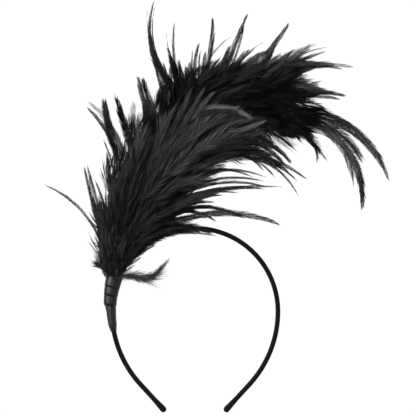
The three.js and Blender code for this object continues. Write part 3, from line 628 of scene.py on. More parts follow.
def dyed_coque_feather(spray):
    """Dyed cock's hackle: black vane with a faint shine, mixed towards grey as partly random tone and partly
    painted sheen, and towards pale grey on a few feathers as partly their own colour and partly painted
    highlight, so that it looks silky.
    """
    finish, tree, shader = new_finish("dyed_coque_feather")
    tone = carried(tree, "tone")
    # The grey mixed in here is partly random tone and partly painted sheen, strongest where the plumes' tones
    # are raised; it also greys the barbs' tips.
    greyed_and_sheen_painted = math_node(tree, "MULTIPLY_ADD", grain(tree, PATCH_SIZE), 0.6, tone)
    greyed_and_sheen_painted = math_node(tree, "MULTIPLY_ADD", carried(tree, "along"), 0.4, greyed_and_sheen_painted)
    greyed_and_sheen_painted = math_node(tree, "SUBTRACT", greyed_and_sheen_painted, 0.5)
    dye = mixed(tree, greyed_and_sheen_painted, (*spray.dark, 1), (*spray.light, 1), clamp_factor=True)
    # Painted highlight: from a tone of PALE_FROM up, pale grey is mixed in, which stands partly for lighter
    # feathers and partly for highlights painted on them.
    paled_and_highlight_painted = math_node(tree, "SUBTRACT", tone, PALE_FROM)
    look = {
        "Base Color": mixed(tree, paled_and_highlight_painted, dye, (*spray.pale, 1), clamp_factor=True),
        "Roughness": spread(tree, tone, 0.4, 0.56),
        "Specular IOR Level": spread(tree, tone, 0.12, 0.45, **{"From Min": -0.4}),
    }
    fill(tree, shader, look)
    return finish


def loose_down(spray):
    """Dyed down: fine soft barbs with no shine of their own, so that it reads as a grey-black haze."""
    finish, tree, shader = new_finish("dyed_down")
    dye = mixed(tree, carried(tree, "along"), (*spray.dark, 1), (*spray.light, 1))
    fill(tree, shader, {"Base Color": dye, "Roughness": 0.75, "Sheen Weight": 0.3})
    return finish


def satin_ribbon(binding):
    """Polyester satin: tight floats of thread that shine across them, with a fine line at each thread."""
    finish, tree, shader = new_finish("satin_ribbon")
    turns = math_node(tree, "MULTIPLY", carried(tree, "weft"), 2 * math.pi / SATIN_THREAD)
    slubs = grain(tree, 2 * MM, 3.0)
    rise = math_node(tree, "MULTIPLY_ADD", math_node(tree, "SINE", turns), 0.3, slubs)
    shade = spread(tree, slubs, 0.55, 1.15)
    look = {
        "Base Color": mixed(tree, 1.0, (*binding.satin, 1), shade, blend_type="MULTIPLY"),
        "Normal": bump(tree, rise, 0.35, 0.08 * MM),
        "Roughness": 0.36,
        "Specular IOR Level": 0.48,
        "Sheen Weight": 0.05,
    }
    fill(tree, shader, look)
    return finish


def wound_fabric(hoop):
    """Grosgrain wound on wire: slanting ribs, their colour painted lighter on their tops as a dull shine and
    near black in the grooves between them as shade.
    """
    finish, tree, shader = new_finish("wound_fabric")
    height = math_node(tree, "MULTIPLY_ADD", grain(tree, 0.6 * MM), 0.6, carried(tree, "rib"))
    # Painted shade and shine: the rib height darkens the colour in the grooves and lightens it on the rib
    # tops, besides the bump.
    shade = spread(tree, height, 0.25, 1.5, **{"From Max": 1.6})
    look = {
        "Base Color": mixed(tree, 1.0, (*hoop.cover, 1), shade, blend_type="MULTIPLY"),
        "Normal": bump(tree, height, 0.4, 0.1 * MM),
        "Roughness": 0.7,
        "Specular IOR Level": 0.12,
    }
    fill(tree, shader, look)
    return finish


def light_table():
    """Frosted light table: lit from below to just white, with a barely visible tooth, so no shadow falls.

    Its own colour is dark, or the lamps' light on it would eat into the edges of the thin feathers.
    """
    finish, tree, shader = new_finish("frosted_light_table")
    look = {
        "Base Color": spread(tree, grain(tree, 1.5 * MM), 0.02, 0.04),
        "Roughness": 0.9,
        "Specular IOR Level": 0.1,
        "Emission Color": (1, 1, 1, 1),
        "Emission Strength": 1.0,
    }
    fill(tree, shader, look)
    return finish


# The covered hoop.


def band_half_sizes(hoop, distance):
    """The band's half thickness and half width; it flares to its ends, which are rounded off."""
    from_end = half_hoop(hoop) - abs(distance)
    flare = 1 - smooth_step(from_end, 0, hoop.flare)
    round_length = hoop.end_thickness / 2
    in_tip = 1 - min(1, from_end / round_length)
    roundness = max(0.12, math.sqrt(1 - in_tip * in_tip))
    thickness = blend(hoop.thickness, hoop.end_thickness, flare) * roundness
    width = blend(hoop.width, hoop.end_width, flare) - hoop.end_thickness * (1 - roundness)
    return thickness / 2, width / 2


def squircle(turn, across, up, power=0.7):
    """A point on a rounded box section, from its middle; power 1 is an ellipse."""
    c, s = math.cos(turn), math.sin(turn)
    return across * math.copysign(abs(c) ** power, c), up * math.copysign(abs(s) ** power, s)


def winding_tree():
    """Raises slanting ribs on a swept piece whose points carry their place along it and round it."""
    tree, inlet = new_tree(
        "wound_ribs",
        {"Pitch": ("Float", 1 * MM), "Rib Height": ("Float", 0.1 * MM), "Material": ("Material", None)},
    )
    along = put(tree, "GeometryNodeInputNamedAttribute", {"Name": "along_band"})
    around = put(tree, "GeometryNodeInputNamedAttribute", {"Name": "round_band"})
    turns = math_node(tree, "DIVIDE", along, inlet.outputs["Pitch"])
    turns = math_node(tree, "ADD", turns, around)
    wave = math_node(tree, "COSINE", math_node(tree, "MULTIPLY", turns, 2 * math.pi))
    rib = math_node(tree, "MULTIPLY_ADD", wave, 0.5, 0.5)
    keep = put(
        tree,
        "GeometryNodeStoreNamedAttribute",
        {"Geometry": inlet.outputs["Geometry"], "Name": "rib", "Value": rib},
        domain="POINT",
    )
    rise = math_node(tree, "MULTIPLY", rib, inlet.outputs["Rib Height"])
    normal = put(tree, "GeometryNodeInputNormal")
    out = put(tree, "ShaderNodeVectorMath", {0: normal, "Scale": rise}, operation="SCALE")
    moved = put(tree, "GeometryNodeSetPosition", {"Geometry": keep, "Offset": out})
    finish_tree(tree, inlet, moved)
    return tree


def finish_tree(tree, inlet, geometry):
    """Ends a tree: instances made real, smooth shaded, with its material."""
    real = put(tree, "GeometryNodeRealizeInstances", {"Geometry": geometry})
    shaded = put(tree, "GeometryNodeSetShadeSmooth", {"Geometry": real})
    coated = put(tree, "GeometryNodeSetMaterial", {"Geometry": shaded, "Material": inlet.outputs["Material"]})
    put(tree, "NodeGroupOutput", {"Geometry": coated})


def make_band_cover(hoop):
    """The hoop's fabric cover, swept along it, with its winding raised as slanting ribs."""
    reach = half_hoop(hoop)
    steps = round(2 * reach / COVER_STEP)
    tip = [hoop.end_thickness / 2 * s for s in (0.02, 0.15, 0.35, 0.6)]
    stations = [-reach + s for s in (0, *tip)]
    stations += [blend(stations[-1], -stations[-1], (i + 1) / (steps + 1)) for i in range(steps)]
    stations += [-s for s in reversed(stations[: 1 + len(tip)])]
    places, along, around = [], [], []
    for distance in stations:
        point, normal = hoop_at(hoop, distance)
        half_thick, half_wide = band_half_sizes(hoop, distance)
        for i in range(COVER_SIDES):
            turn = 2 * math.pi * i / COVER_SIDES
            half_out = half_thick + COVER_GAUGE - RIB_HEIGHT
            across, up = squircle(turn, half_out, half_wide - RIB_HEIGHT)
            places.append(point + normal * across + Vector((0, 0, up)))
            along.append(distance + reach)
            around.append(i / COVER_SIDES)
    cover = new_piece("band_cover", places, faces=ring_faces(len(stations), COVER_SIDES, closed=False))
    set_values(cover.data, "along_band", along)
    set_values(cover.data, "round_band", around)
    face_outwards(cover.data)
    values = {"Pitch": hoop.cord_pitch, "Rib Height": RIB_HEIGHT, "Material": wound_fabric(hoop)}
    grow(cover, winding_tree(), values)
    hand_over(cover, "band")


# The wound ribbon.


def binding_section(hoop, binding, share, turn, out, least):
    """A point on the binding's outside: share along it, turn round it, and out from its bare wall."""
    point, normal = binding_at(hoop, binding, share)
    near = -(hoop.thickness / 2 + binding.clearance + binding.wall)
    far = hoop.thickness / 2 + 2 * binding.clearance + binding.stems * read(STEM_FILL, share) + binding.wall
    half_high = hoop.width / 2 + binding.clearance + binding.wall
    half_across = (far - near) / 2
    across, up = squircle(turn, half_across + out, half_high + out, 0.75)
    place = point + normal * ((near + far) / 2 + across) + Vector((0, 0, up))
    place.z = max(place.z, least)
    return place


def ribbon_folds(share, turn):
    """How far the lower part of the ribbon stands out, drawn together in lengthwise folds."""
    gathered = smooth_step(share, 0.5, 0.62) * (1 - 0.7 * smooth_step(share, 0.85, 1))
    fold = math.sin(4 * turn + 1.2 + 1.5 * share) + 0.6 * math.sin(9 * turn - 2 * share)
    return 0.32 * MM * gathered * fold - 0.55 * MM * smooth_step(share, 0.88, 1)


def make_ribbon_wrap(hoop, binding):
    """Satin ribbon: an under layer drawn down in folds, and a strip wound over its upper half."""
    places, weft = [], []
    for outside in (True, False):
        for r in range(SLEEVE_RINGS + 1):
            share = r / SLEEVE_RINGS if outside else 1 - r / SLEEVE_RINGS
            for i in range(SLEEVE_SIDES):
                turn = 2 * math.pi * i / SLEEVE_SIDES
                out = ribbon_folds(share, turn) - 0.25 * MM if outside else -0.85 * binding.wall
                least = LEAST_HEIGHT if outside else 4 * LEAST_HEIGHT
                places.append(binding_section(hoop, binding, share, turn, out, least))
                weft.append(share * binding.length)
    faces = ring_faces(2 * (SLEEVE_RINGS + 1), SLEEVE_SIDES, closed=True)
    first = len(places)
    steps = round(STRIP_SIDES * WOUND_TURNS)
    layers = (
        (range(STRIP_ROWS + 1), 0, LEAST_HEIGHT),
        (range(STRIP_ROWS, -1, -1), RIBBON_GAUGE, 2 * LEAST_HEIGHT),
    )
    for s in range(steps + 1):
        turns = s / STRIP_SIDES
        lower = read(TURN_ENDS, int(turns) + smooth_step(turns % 1, 0, 0.42))
        upper = min(max(0, lower - binding.ribbon_width / binding.length), lower - 0.02)
        for rows, depth, least in layers:
            for w in rows:
                across = w / STRIP_ROWS
                share = blend(lower, upper, across)
                rounded = 0.05 * MM * (1 - smooth_step(across, 0, 0.15))
                out = binding.lap * (1 - across) - rounded + 0.03 * MM - depth
                turn = 2 * math.pi * turns + STRIP_START
                places.append(binding_section(hoop, binding, share, turn, out, least))
                weft.append(across * binding.ribbon_width)
    strip = ring_faces(steps + 1, 2 * (STRIP_ROWS + 1), closed=False)
    faces += [tuple(i + first for i in face) for face in strip]
    wrap = new_piece("ribbon_wrap", places, faces=faces)
    set_values(wrap.data, "weft", weft)
    wrap.data.materials.append(satin_ribbon(binding))
    face_outwards(wrap.data)
    wrap.data.shade_smooth()
    hand_over(wrap, "ribbon_binding")


# The feathers.


class Plume:
    """A plume's spine as a smooth curve, the half sizes of its mass, and the layer of heights it keeps to."""

    def __init__(self, hoop, binding, spray, rear):
        self.hoop, self.spray, self.rear = hoop, spray, rear
        self.mouth = mouth_point(hoop, binding)
        self.rows = REAR_SPINE if rear else FRONT_SPINE
        self.feathers = REAR_FEATHERS if rear else FRONT_FEATHERS
        self.mass = spray.rear_mass if rear else spray.front_mass
        # Painted shade: the rear plume, which lies under the front one, takes a lower tone, so its feathers
        # are painted darker as shade.
        self.tone = -0.3 if rear else 0.2
        knots = [self.mouth] + [self.place(row.across, row.up, row.lift) for row in self.rows]
        self.samples = smooth_path(knots, 12)
        self.reach = [0]
        for (_, a), (_, b) in zip(self.samples, self.samples[1:]):
            self.reach.append(self.reach[-1] + (b - a).length)

    def place(self, across, up, lift):
        """The place that a table gives, measured from the binding's mouth."""
        x = self.mouth.x + self.spray.span * across
        y = self.mouth.y + self.spray.rise * up
        return Vector((x, y, self.spray.depth * lift))

    def at(self, share):
        """The spine's middle, tangent and side at a share of its length, and the mass's half sizes."""
        goal = min(1, max(0, share)) * self.reach[-1]
        i = max(1, next(k for k, r in enumerate(self.reach) if r >= goal - 1e-9))
        (low, a), (high, b) = self.samples[i - 1], self.samples[i]
        part = (goal - self.reach[i - 1]) / max(1e-9, self.reach[i] - self.reach[i - 1])
        knot = blend(low, high, part)
        tangent = (b - a).normalized()
        side = Vector((tangent.y, -tangent.x, 0)).normalized()
        row = max(0, min(len(self.rows) - 1, knot - 1))
        first, last = self.rows[int(row)], self.rows[min(len(self.rows) - 1, int(row) + 1)]
        wide = self.mass * blend(first.wide, last.wide, row % 1)
        thick = self.spray.depth * blend(first.thick, last.thick, row % 1)
        return a.lerp(b, part), tangent, side, wide, thick

    def ground(self, x, y):
        """The lowest height that feathers keep: the surface, or over the band where they cross it."""
        outside = (Vector((x, y, 0)) - hoop_centre(self.hoop)).length - self.hoop.crown_radius
        over = 1 - smooth_step(outside - self.hoop.thickness / 2, RISE_END, RISE_START)
        return over * band_clear(self.hoop)

    def keep_in(self, place, half):
        """Moves a point up or down into the plume's layer: the rear one lies under the front one."""
        ground = self.ground(place.x, place.y)
        rise = min(1, max(0, (place.y - self.mouth.y) / (self.spray.rise * PARTING_UP)))
        parting = blend(BAND_MIDDLE, self.spray.depth * PARTING_LIFT, rise)
        parting = max(parting, ground + 1.3 * MM) if rise > 0 else parting
        low, high = (ground, parting) if self.rear else (max(ground, parting), self.spray.depth)
        place.z = max(low + half, min(high - half, place.z))
        return place


def hoop_centre(hoop):
    return hoop_origin(hoop) - Vector((0, hoop.crown_radius, 0))


def band_clear(hoop):
    return BAND_MIDDLE + hoop.width / 2 + 0.6 * MM


def catmull(knots, t):
    a, b, c, d = knots
    return (
        b * 2 + (c - a) * t + (a * 2 - b * 5 + c * 4 - d) * t * t + (b * 3 - a - c * 3 + d) * t * t * t
    ) * 0.5


def smooth_path(knots, steps):
    """Points of a smooth curve through the knots, each with its place among them."""
    last = len(knots) - 1
    points = []
    for i in range(last):
        around = [knots[max(0, min(last, i + k))] for k in (-1, 0, 1, 2)]
        points += [(i + k / steps, catmull(around, k / steps)) for k in range(steps)]
    return [*points, (last, knots[-1])]


class Shafts:
    """Feather shafts as chains of edges, with what each point tells its barbs."""

    def __init__(self):
        self.places, self.edges, self.facing = [], [], []
        self.values = {"vane": [], "share": [], "tone": [], "quill": [], "loose": []}

    def add(self, path, facing, vane, tone, quill, form=HACKLE, loose=0.0, fade=0.0):
        """One feather along a path, its face turned to facing, with its vane's half width at the widest.

        The more it turns pale grey, which stands partly for a lighter feather and partly for a painted
        highlight, the nearer to its root the paleness begins.
        """
        for i, place in enumerate(path):
            if i:
                self.edges.append((len(self.places) - 1, len(self.places)))
            share = i / (len(path) - 1)
            self.places.append(place)
            self.facing.append(facing)
            self.values["vane"].append(vane * read(form, share))
            self.values["share"].append(share)
            paleness = fade * smooth_step(share, 0.2 - 0.5 * fade, 0.7 - 0.4 * fade)
            self.values["tone"].append(blend(tone, PALEST_TONE, paleness))
            self.values["quill"].append(quill * (1 - 0.75 * share))
            self.values["loose"].append(loose)

    def as_piece(self, name):
        piece = new_piece(name, self.places, edges=self.edges)
        set_values(piece.data, "facing", self.facing, "FLOAT_VECTOR")
        for key, column in self.values.items():
            set_values(piece.data, key, column)
        return piece


def bent_path(plume, root, tip, bow, arch, step=4 * MM):
    """A feather's shaft from root to tip, bent to its right by bow and arched up, kept in its layer."""
    middle = root.lerp(tip, 0.5) + Vector(((tip.y - root.y) * bow, -(tip.x - root.x) * bow, arch)) / 2
    return path_through(plume, root, middle, tip, step)


def path_through(plume, root, bend, tip, step=4 * MM):
    """A feather's shaft from root through its bend to its tip, kept in the plume's layer."""
    first, last = (bend - root).length, (tip - bend).length
    t = first / (first + last)
    pull = (bend - root * (1 - t) ** 2 - tip * t * t) / (2 * t * (1 - t))
    count = max(5, round((first + last) / step))
    places = []
    for i in range(count + 1):
        t = i / count
        places.append(plume.keep_in(root * (1 - t) ** 2 + pull * 2 * t * (1 - t) + tip * t * t, SHAFT_ROOM))
    return places


def tilted(path, tilt):
    """The upward direction turned round a feather's path by tilt."""
    run = (path[-1] - path[0]).normalized()
    return Quaternion(run, tilt) @ Vector((0, 0, 1))


def add_named_feathers(shafts, plume, chance):
    """The feathers whose tips show, from the plume's table, each with a shorter one beside it."""
    for row in plume.feathers:
        middle, _, side, wide, _ = plume.at(row.root)
        root = middle + side * row.out * wide
        tip = plume.place(row.across, row.up, row.lift)
        bend = plume.place(row.bend_across, row.bend_up, 0)
        bend.z = blend(root.z, tip.z, 0.6)
        path = path_through(plume, root, bend, tip)
        vane = plume.spray.feather_width / 2 * row.wide
        tone = plume.tone + chance.uniform(0, 0.3)
        quill = plume.spray.quill * (0.5 + row.wide / 2)
        hidden = len(path) // 4
        shafts.add(path[hidden:], tilted(path, chance.gauss(0, 0.25)), vane, tone, quill, fade=row.fade)
        beside = side * chance.gauss(0, 1.6) * MM + Vector((0, 0, chance.uniform(-3, 3) * MM))
        shorter = path[hidden : round(len(path) * chance.uniform(0.75, 0.95))]
        shorter = [place + beside * (1 - i / len(shorter) / 2) for i, place in enumerate(shorter)]
        facing = tilted(path, chance.gauss(0, 0.5))
        shafts.add(shorter, facing, vane * 0.8, tone, quill * 0.6, fade=row.fade * 0.8)


def add_fillers(shafts, plume, chance, count):
    """Shorter feathers between neighbours of the table, which close the plume up behind its tips."""
    for _ in range(count):
        i = chance.randrange(len(plume.feathers) - 1)
        a, b = plume.feathers[i], plume.feathers[i + 1]
        mix = chance.random()
        if abs(a.across - b.across) + abs(a.up - b.up) > 0.07 or (not plume.rear and a.out > 0.3):
            mix = round(mix)
        share = min(0.96, max(0, blend(a.root, b.root, mix) + chance.uniform(-0.06, 0.03)))
        middle, _, side, wide, thick = plume.at(share)
        out = blend(a.out, b.out, mix) + chance.uniform(-0.3, 0.3)
        root = middle + side * out * wide + Vector((0, 0, chance.uniform(-0.7, 0.7) * thick))
        bend = plume.place(blend(a.bend_across, b.bend_across, mix), blend(a.bend_up, b.bend_up, mix), 0)
        bend.z = root.z
        tip = plume.place(blend(a.across, b.across, mix), blend(a.up, b.up, mix), 0)
        tip.z = root.z + chance.uniform(-0.5, 0.5) * thick
        path = path_through(plume, root, bend, tip)
        path = path[: max(6, round(len(path) * chance.triangular(0.4, 0.88, 0.6)))]
        vane = plume.spray.feather_width / 2 * chance.uniform(0.7, 1.3)
        tone = plume.tone + chance.uniform(0, 0.5)
        fade = 0.7 * blend(a.fade, b.fade, mix)
        facing = tilted(path, chance.gauss(0, 0.4))
        shafts.add(path, facing, vane, tone, plume.spray.quill * 0.6, fade=fade)


def add_body_feathers(shafts, plume, chance, count):
    """The mass round the spine: broad soft feathers that leave it to both sides and lie over each other."""
    reach, crowding = (0.86, 0.9) if plume.rear else (0.95, 1.1)
    for i in range(count):
        share = reach * ((i + chance.random()) / count) ** crowding
        middle, tangent, side, wide, thick = plume.at(share)
        out = chance.uniform(-0.68, 0.68)
        up = chance.triangular(-0.6, 0.95, 0.75) * math.sqrt(1 - out * out)
        root = middle + side * out * wide + Vector((0, 0, up * thick))
        lean = -out * BODY_LEAN + chance.gauss(0, 0.12)
        forward = Quaternion((0, 0, 1), lean) @ tangent
        length = BODY_FEATHER * max(0.35, wide / plume.mass) * chance.uniform(0.6, 1)
        length *= 1 - 0.5 * smooth_step(share, 0.65, 0.95)
        if out < 0:
            length *= 1 - 0.45 * smooth_step(-out, 0, 0.5)
        elif plume.rear:
            length *= 1 - 0.3 * smooth_step(out, 0.3, 0.6) * smooth_step(share, 0.5, 0.7)
        else:
            length *= 1 - 0.6 * smooth_step(out, 0, 0.4) * smooth_step(share, 0.15, 0.3)
        tip = root + forward * length
        tip.z -= thick * 0.5 * abs(out) + chance.uniform(0, 0.3) * thick
        bow = math.copysign(0.12, out) + chance.gauss(0, 0.04)
        path = bent_path(plume, root, tip, bow, thick * 0.35, 3.5 * MM)
        vane = plume.spray.body_vane / 2 * chance.uniform(0.75, 1.15)
        if not plume.rear:
            vane *= 1 - 0.35 * smooth_step(out, 0, 0.4) * smooth_step(share, 0.5, 0.65)
        facing = (Vector((0, 0, 1)) * max(0.35, up + 0.5) + side * out).normalized()
        facing = Quaternion(forward, chance.gauss(0, 0.08)) @ facing
        tone = plume.tone + chance.triangular(0, 0.35, 0.1)
        # Painted highlight: past the middle of the rear plume, the body feathers on the left of its spine,
        # along its upper edge, take a raised tone. The front plume's body feathers take a raised tone towards
        # its end.
        if plume.rear:
            tone += 0.95 * smooth_step(-out, 0, 0.5) * smooth_step(share, 0.5, 0.7)
        else:
            tone += 0.95 * smooth_step(share, 0.3, 0.6) + chance.uniform(-0.1, 0.1)
        shafts.add(path, facing, vane, tone, plume.spray.quill * 0.6, SOFT, loose=chance.uniform(0.3, 1))


def add_hem_feathers(shafts, plume, hoop, binding, chance, count):
    """Soft feathers that lie along the hoop from the binding's mouth and fringe out over it."""
    mouth = -hoop.crown_radius * (math.pi / 2 - binding.mouth_angle)
    for i in range(count):
        start = mouth + HEM_REACH * i / count
        length = chance.uniform(*HEM_LENGTHS) * MM
        out = blend(9, 4, i / count) * MM + chance.uniform(-1, 3) * MM
        path = []
        for k in range(9):
            point, normal = hoop_at(hoop, start + length * k / 8)
            place = point + normal * blend(out, -1 * MM, (k / 8) ** 1.5)
            place.z = chance.uniform(0, 4) * MM + BAND_MIDDLE if k == 0 else path[-1].z
            path.append(plume.keep_in(place, SHAFT_ROOM))
        tone = plume.tone + chance.uniform(0, 0.4)
        facing = tilted(path, chance.gauss(0, 0.3))
        shafts.add(path, facing, 4.5 * MM, tone, plume.spray.quill * 0.5, SOFT, loose=1)


def add_mouth_feathers(shafts, plume, chance, count):
    """Short soft feathers that fan out of the binding's mouth and cover the stems there."""
    middle, tangent, side, _, _ = plume.at(0)
    for i in range(count):
        spread = 2 * (i + chance.random()) / count - 1
        root = middle - tangent * chance.uniform(1, 4) * MM + side * spread * 6 * MM
        root.z = plume.spray.depth * chance.uniform(0.12, 0.2)
        forward = Quaternion((0, 0, 1), -spread * chance.uniform(0.4, 1) * MOUTH_FAN) @ tangent
        tip = root + forward * chance.uniform(*MOUTH_LENGTHS) * MM
        tip += Vector((0, 0, chance.uniform(-2, 4) * MM))
        path = bent_path(plume, root, tip, 0, chance.uniform(0, 3) * MM, 2 * MM)
        tone = plume.tone + chance.uniform(-0.2, 0.3)
        facing = tilted(path, chance.gauss(0, 0.3))
        shafts.add(path, facing, 2.5 * MM, tone, plume.spray.quill * 0.4, SOFT, loose=1)


def add_stems(shafts, plume, hoop, binding, chance):
    """The stems that run from inside the binding along the spine, with short barbs."""
    for k in range(STEMS):
        drift = (k + 0.5) / STEMS * 2 - 1
        path = []
        for share in (0.3, 0.15, 0.02):
            point, normal = binding_at(hoop, binding, share)
            within = binding.stems * read(STEM_FILL, share) * (0.5 + 0.35 * drift)
            place = point + normal * (hoop.thickness / 2 + binding.clearance + within)
            place.z = BAND_MIDDLE + (-1.4 if plume.rear else 1.4) * MM
            path.append(place)
        end = chance.uniform(0.3, 0.8)
        for i in range(1, 22):
            middle, _, side, wide, thick = plume.at(end * i / 21)
            spread = side * drift * wide * 0.3 + Vector((0, 0, math.sin(k * 2.4) * thick * 0.4))
            path.append(plume.keep_in(middle + spread, SHAFT_ROOM))
        vane = plume.spray.feather_width * 0.5
        shafts.add(path, tilted(path, drift), vane, 0.4, plume.spray.quill, SOFT, loose=1)


def barb_tree():
    """Grows barbs on both sides of every shaft, each a thin tapered blade bent towards the tip."""
    tree, inlet = new_tree(
        "feather_barbs",
        {
            "Spacing": ("Float", 1 * MM),
            "Barb Width": ("Float", 0.07),
            "Barb Curl": ("Float", 0.2),
            "Least Barb": ("Float", 5 * MM),
            "Angle at Root": ("Float", 1.0),
            "Angle at Tip": ("Float", 0.3),
            "Tangle": ("Float", 0.25),
            "Tone Spread": ("Float", 0.3),
            "Clump Size": ("Float", 7 * MM),
            "Hoop Centre": ("Vector", None),
            "Band Reach": ("Float", 68 * MM),
            "Band Clear": ("Float", 8 * MM),
            "Material": ("Material", None),
        },
    )
    value = inlet.outputs

    def maths(operation, *inputs):
        return math_node(tree, operation, *inputs)

    def vectors(operation, *inputs):
        return put(tree, "ShaderNodeVectorMath", dict(enumerate(inputs)), operation=operation)

    def scaled(vector, factor):
        return put(tree, "ShaderNodeVectorMath", {0: vector, "Scale": factor}, operation="SCALE")

    def stored(name, kind="FLOAT"):
        return put(tree, "GeometryNodeInputNamedAttribute", {"Name": name}, data_type=kind)

    def chance(low, high, seed):
        return put(tree, "FunctionNodeRandomValue", {"Min": low, "Max": high, "Seed": seed}, data_type="FLOAT")

    # One barb: unit length along X, bent to +Y, a flat three-sided spindle that starts behind the shaft.
    line = put(
        tree,
        "GeometryNodeCurveQuadraticBezier",
        {"Resolution": 2, "Start": (-0.14, 0, 0), "Middle": (0.2, 0, 0)},
    )
    end = put(tree, "ShaderNodeCombineXYZ", {"X": 1.0, "Y": value["Barb Curl"]})
    tree.links.new(end.outputs[0], line.inputs["End"])
    factor = put(tree, "GeometryNodeSplineParameter").outputs["Factor"]
    taper = maths("SUBTRACT", 1.0, maths("ABSOLUTE", maths("MULTIPLY_ADD", factor, 2.0, -1.0)))
    line = put(tree, "GeometryNodeStoreNamedAttribute", {"Geometry": line, "Name": "along", "Value": factor})
    outline = put(tree, "GeometryNodeCurvePrimitiveCircle", {"Resolution": 3, "Radius": value["Barb Width"]})
    barb = put(
        tree,
        "GeometryNodeCurveToMesh",
        {"Curve": line, "Profile Curve": outline, "Scale": taper, "Fill Caps": True},
    )
    barb = put(tree, "GeometryNodeMergeByDistance", {"Geometry": barb, "Distance": 1e-4})
    barb = put(tree, "GeometryNodeTransform", {"Geometry": barb, "Scale": (1, 1, 0.5)})

    # Each shaft, cut into even steps that carry the feather's own values.
    shafts = put(tree, "GeometryNodeMeshToCurve", {"Mesh": value["Geometry"]})
    steps = {"Curve": shafts, "Length": value["Spacing"]}
    points = put(tree, "GeometryNodeCurveToPoints", steps, mode="LENGTH")
    run = points.outputs["Tangent"]
    across = vectors("NORMALIZE", vectors("CROSS_PRODUCT", run, stored("facing", "FLOAT_VECTOR")))
    face = vectors("CROSS_PRODUCT", across, run)
    share = stored("share")
    loose = stored("loose")
    clump = put(
        tree,
        "ShaderNodeTexNoise",
        {"Vector": put(tree, "GeometryNodeInputPosition"), "Scale": maths("DIVIDE", 1.0, value["Clump Size"])},
    )
    tangle = maths("MULTIPLY", value["Tangle"], maths("ADD", 0.6, loose))
    parted = maths("MULTIPLY", maths("SUBTRACT", clump.outputs["Fac"], 0.5), maths("MULTIPLY", tangle, 4.0))
    pale_girth = spread(tree, stored("tone"), 1.0, 0.5, **{"From Min": 0.9, "From Max": PALEST_TONE})
    sides = []
    for seed, side in enumerate((1.0, -1.0)):
        angle = spread(tree, share, value["Angle at Root"], value["Angle at Tip"])
        angle = maths("ADD", angle, maths("MULTIPLY", chance(-0.5, 0.5, seed), tangle))
        angle = maths("MAXIMUM", maths("ADD", angle, maths("MULTIPLY", parted, side)), 0.12)
        sine = maths("SINE", angle)
        lift = maths("MULTIPLY", chance(-1.0, 1.0, seed + 10), tangle)
        forward = scaled(run, maths("COSINE", angle))
        sideways = scaled(across, maths("MULTIPLY", sine, side))
        direction = vectors("ADD", vectors("ADD", forward, sideways), scaled(face, lift))
        turn = put(
            tree,
            "FunctionNodeAxesToRotation",
            {"Primary Axis": direction, "Secondary Axis": scaled(face, side)},
            primary_axis="X",
            secondary_axis="Z",
        )
        reach = maths("MULTIPLY", stored("vane"), chance(0.8, 1.12, seed + 20))
        reach = maths("DIVIDE", reach, maths("MAXIMUM", sine, 0.27))
        girth = maths("MULTIPLY", maths("MAXIMUM", reach, value["Least Barb"]), pale_girth)
        size = put(tree, "ShaderNodeCombineXYZ", {"X": reach, "Y": girth, "Z": girth})
        barbs = put(
            tree,
            "GeometryNodeInstanceOnPoints",
            {"Points": points, "Instance": barb, "Rotation": turn, "Scale": size},
        )
        shade = maths("MULTIPLY_ADD", chance(-1.0, 1.0, seed + 30), value["Tone Spread"], stored("tone"))
        sides.append(
            put(
                tree,
                "GeometryNodeStoreNamedAttribute",
                {"Geometry": barbs, "Name": "tone", "Value": shade},
                domain="INSTANCE",
            )
        )

    rod = put(tree, "GeometryNodeResampleCurve", {"Curve": shafts, "Length": 3.5 * MM}, mode="LENGTH")
    ring = put(tree, "GeometryNodeCurvePrimitiveCircle", {"Resolution": 3, "Radius": 1.0})
    rods = put(
        tree,
        "GeometryNodeCurveToMesh",
        {"Curve": rod, "Profile Curve": ring, "Scale": stored("quill"), "Fill Caps": True},
    )
    whole = put(tree, "GeometryNodeJoinGeometry")
    for part in (rods, *sides):
        tree.links.new(part.outputs[0], whole.inputs[0])
    whole = put(tree, "GeometryNodeRealizeInstances", {"Geometry": whole})

    # Nothing goes through the surface, or through the band where a feather crosses it.
    place = put(tree, "ShaderNodeSeparateXYZ", {"Vector": put(tree, "GeometryNodeInputPosition")})
    flat = put(tree, "ShaderNodeCombineXYZ", {"X": place.outputs["X"], "Y": place.outputs["Y"]})
    from_middle = vectors("DISTANCE", flat, value["Hoop Centre"]).outputs["Value"]
    outside = maths("SUBTRACT", from_middle, value["Band Reach"])
    least = put(
        tree,
        "ShaderNodeMapRange",
        {
            "Value": outside,
            "From Min": RISE_END,
            "From Max": RISE_START,
            "To Min": value["Band Clear"],
            "To Max": LEAST_HEIGHT,
        },
        interpolation_type="SMOOTHSTEP",
    )
    height = maths("MAXIMUM", place.outputs["Z"], least)
    held = {"X": place.outputs["X"], "Y": place.outputs["Y"], "Z": height}
    moved = {"Geometry": whole, "Position": put(tree, "ShaderNodeCombineXYZ", held)}
    finish_tree(tree, inlet, put(tree, "GeometryNodeSetPosition", moved))
    return tree


def grow_feathers(shafts, name, hoop, spray, material, node, slot, **changes):
    """Turns shafts into a finished piece of feathers that stands for a node of the frame."""
    values = {
        "Spacing": spray.barb_spacing,
        "Barb Width": 0.03,
        "Barb Curl": 0.2,
        "Least Barb": 5 * MM,
        "Angle at Root": math.radians(42),
        "Angle at Tip": math.radians(17),
        "Tangle": 0.14,
        "Tone Spread": 0.3,
        "Clump Size": 7 * MM,
        "Hoop Centre": hoop_centre(hoop),
        "Band Reach": hoop.crown_radius + hoop.thickness / 2,
        "Band Clear": band_clear(hoop) - 0.3 * MM,
        "Material": material,
    }
    values.update(changes)
    piece = grow(shafts.as_piece(name), bpy.data.node_groups.get("feather_barbs") or barb_tree(), values)
    hand_over(piece, node)


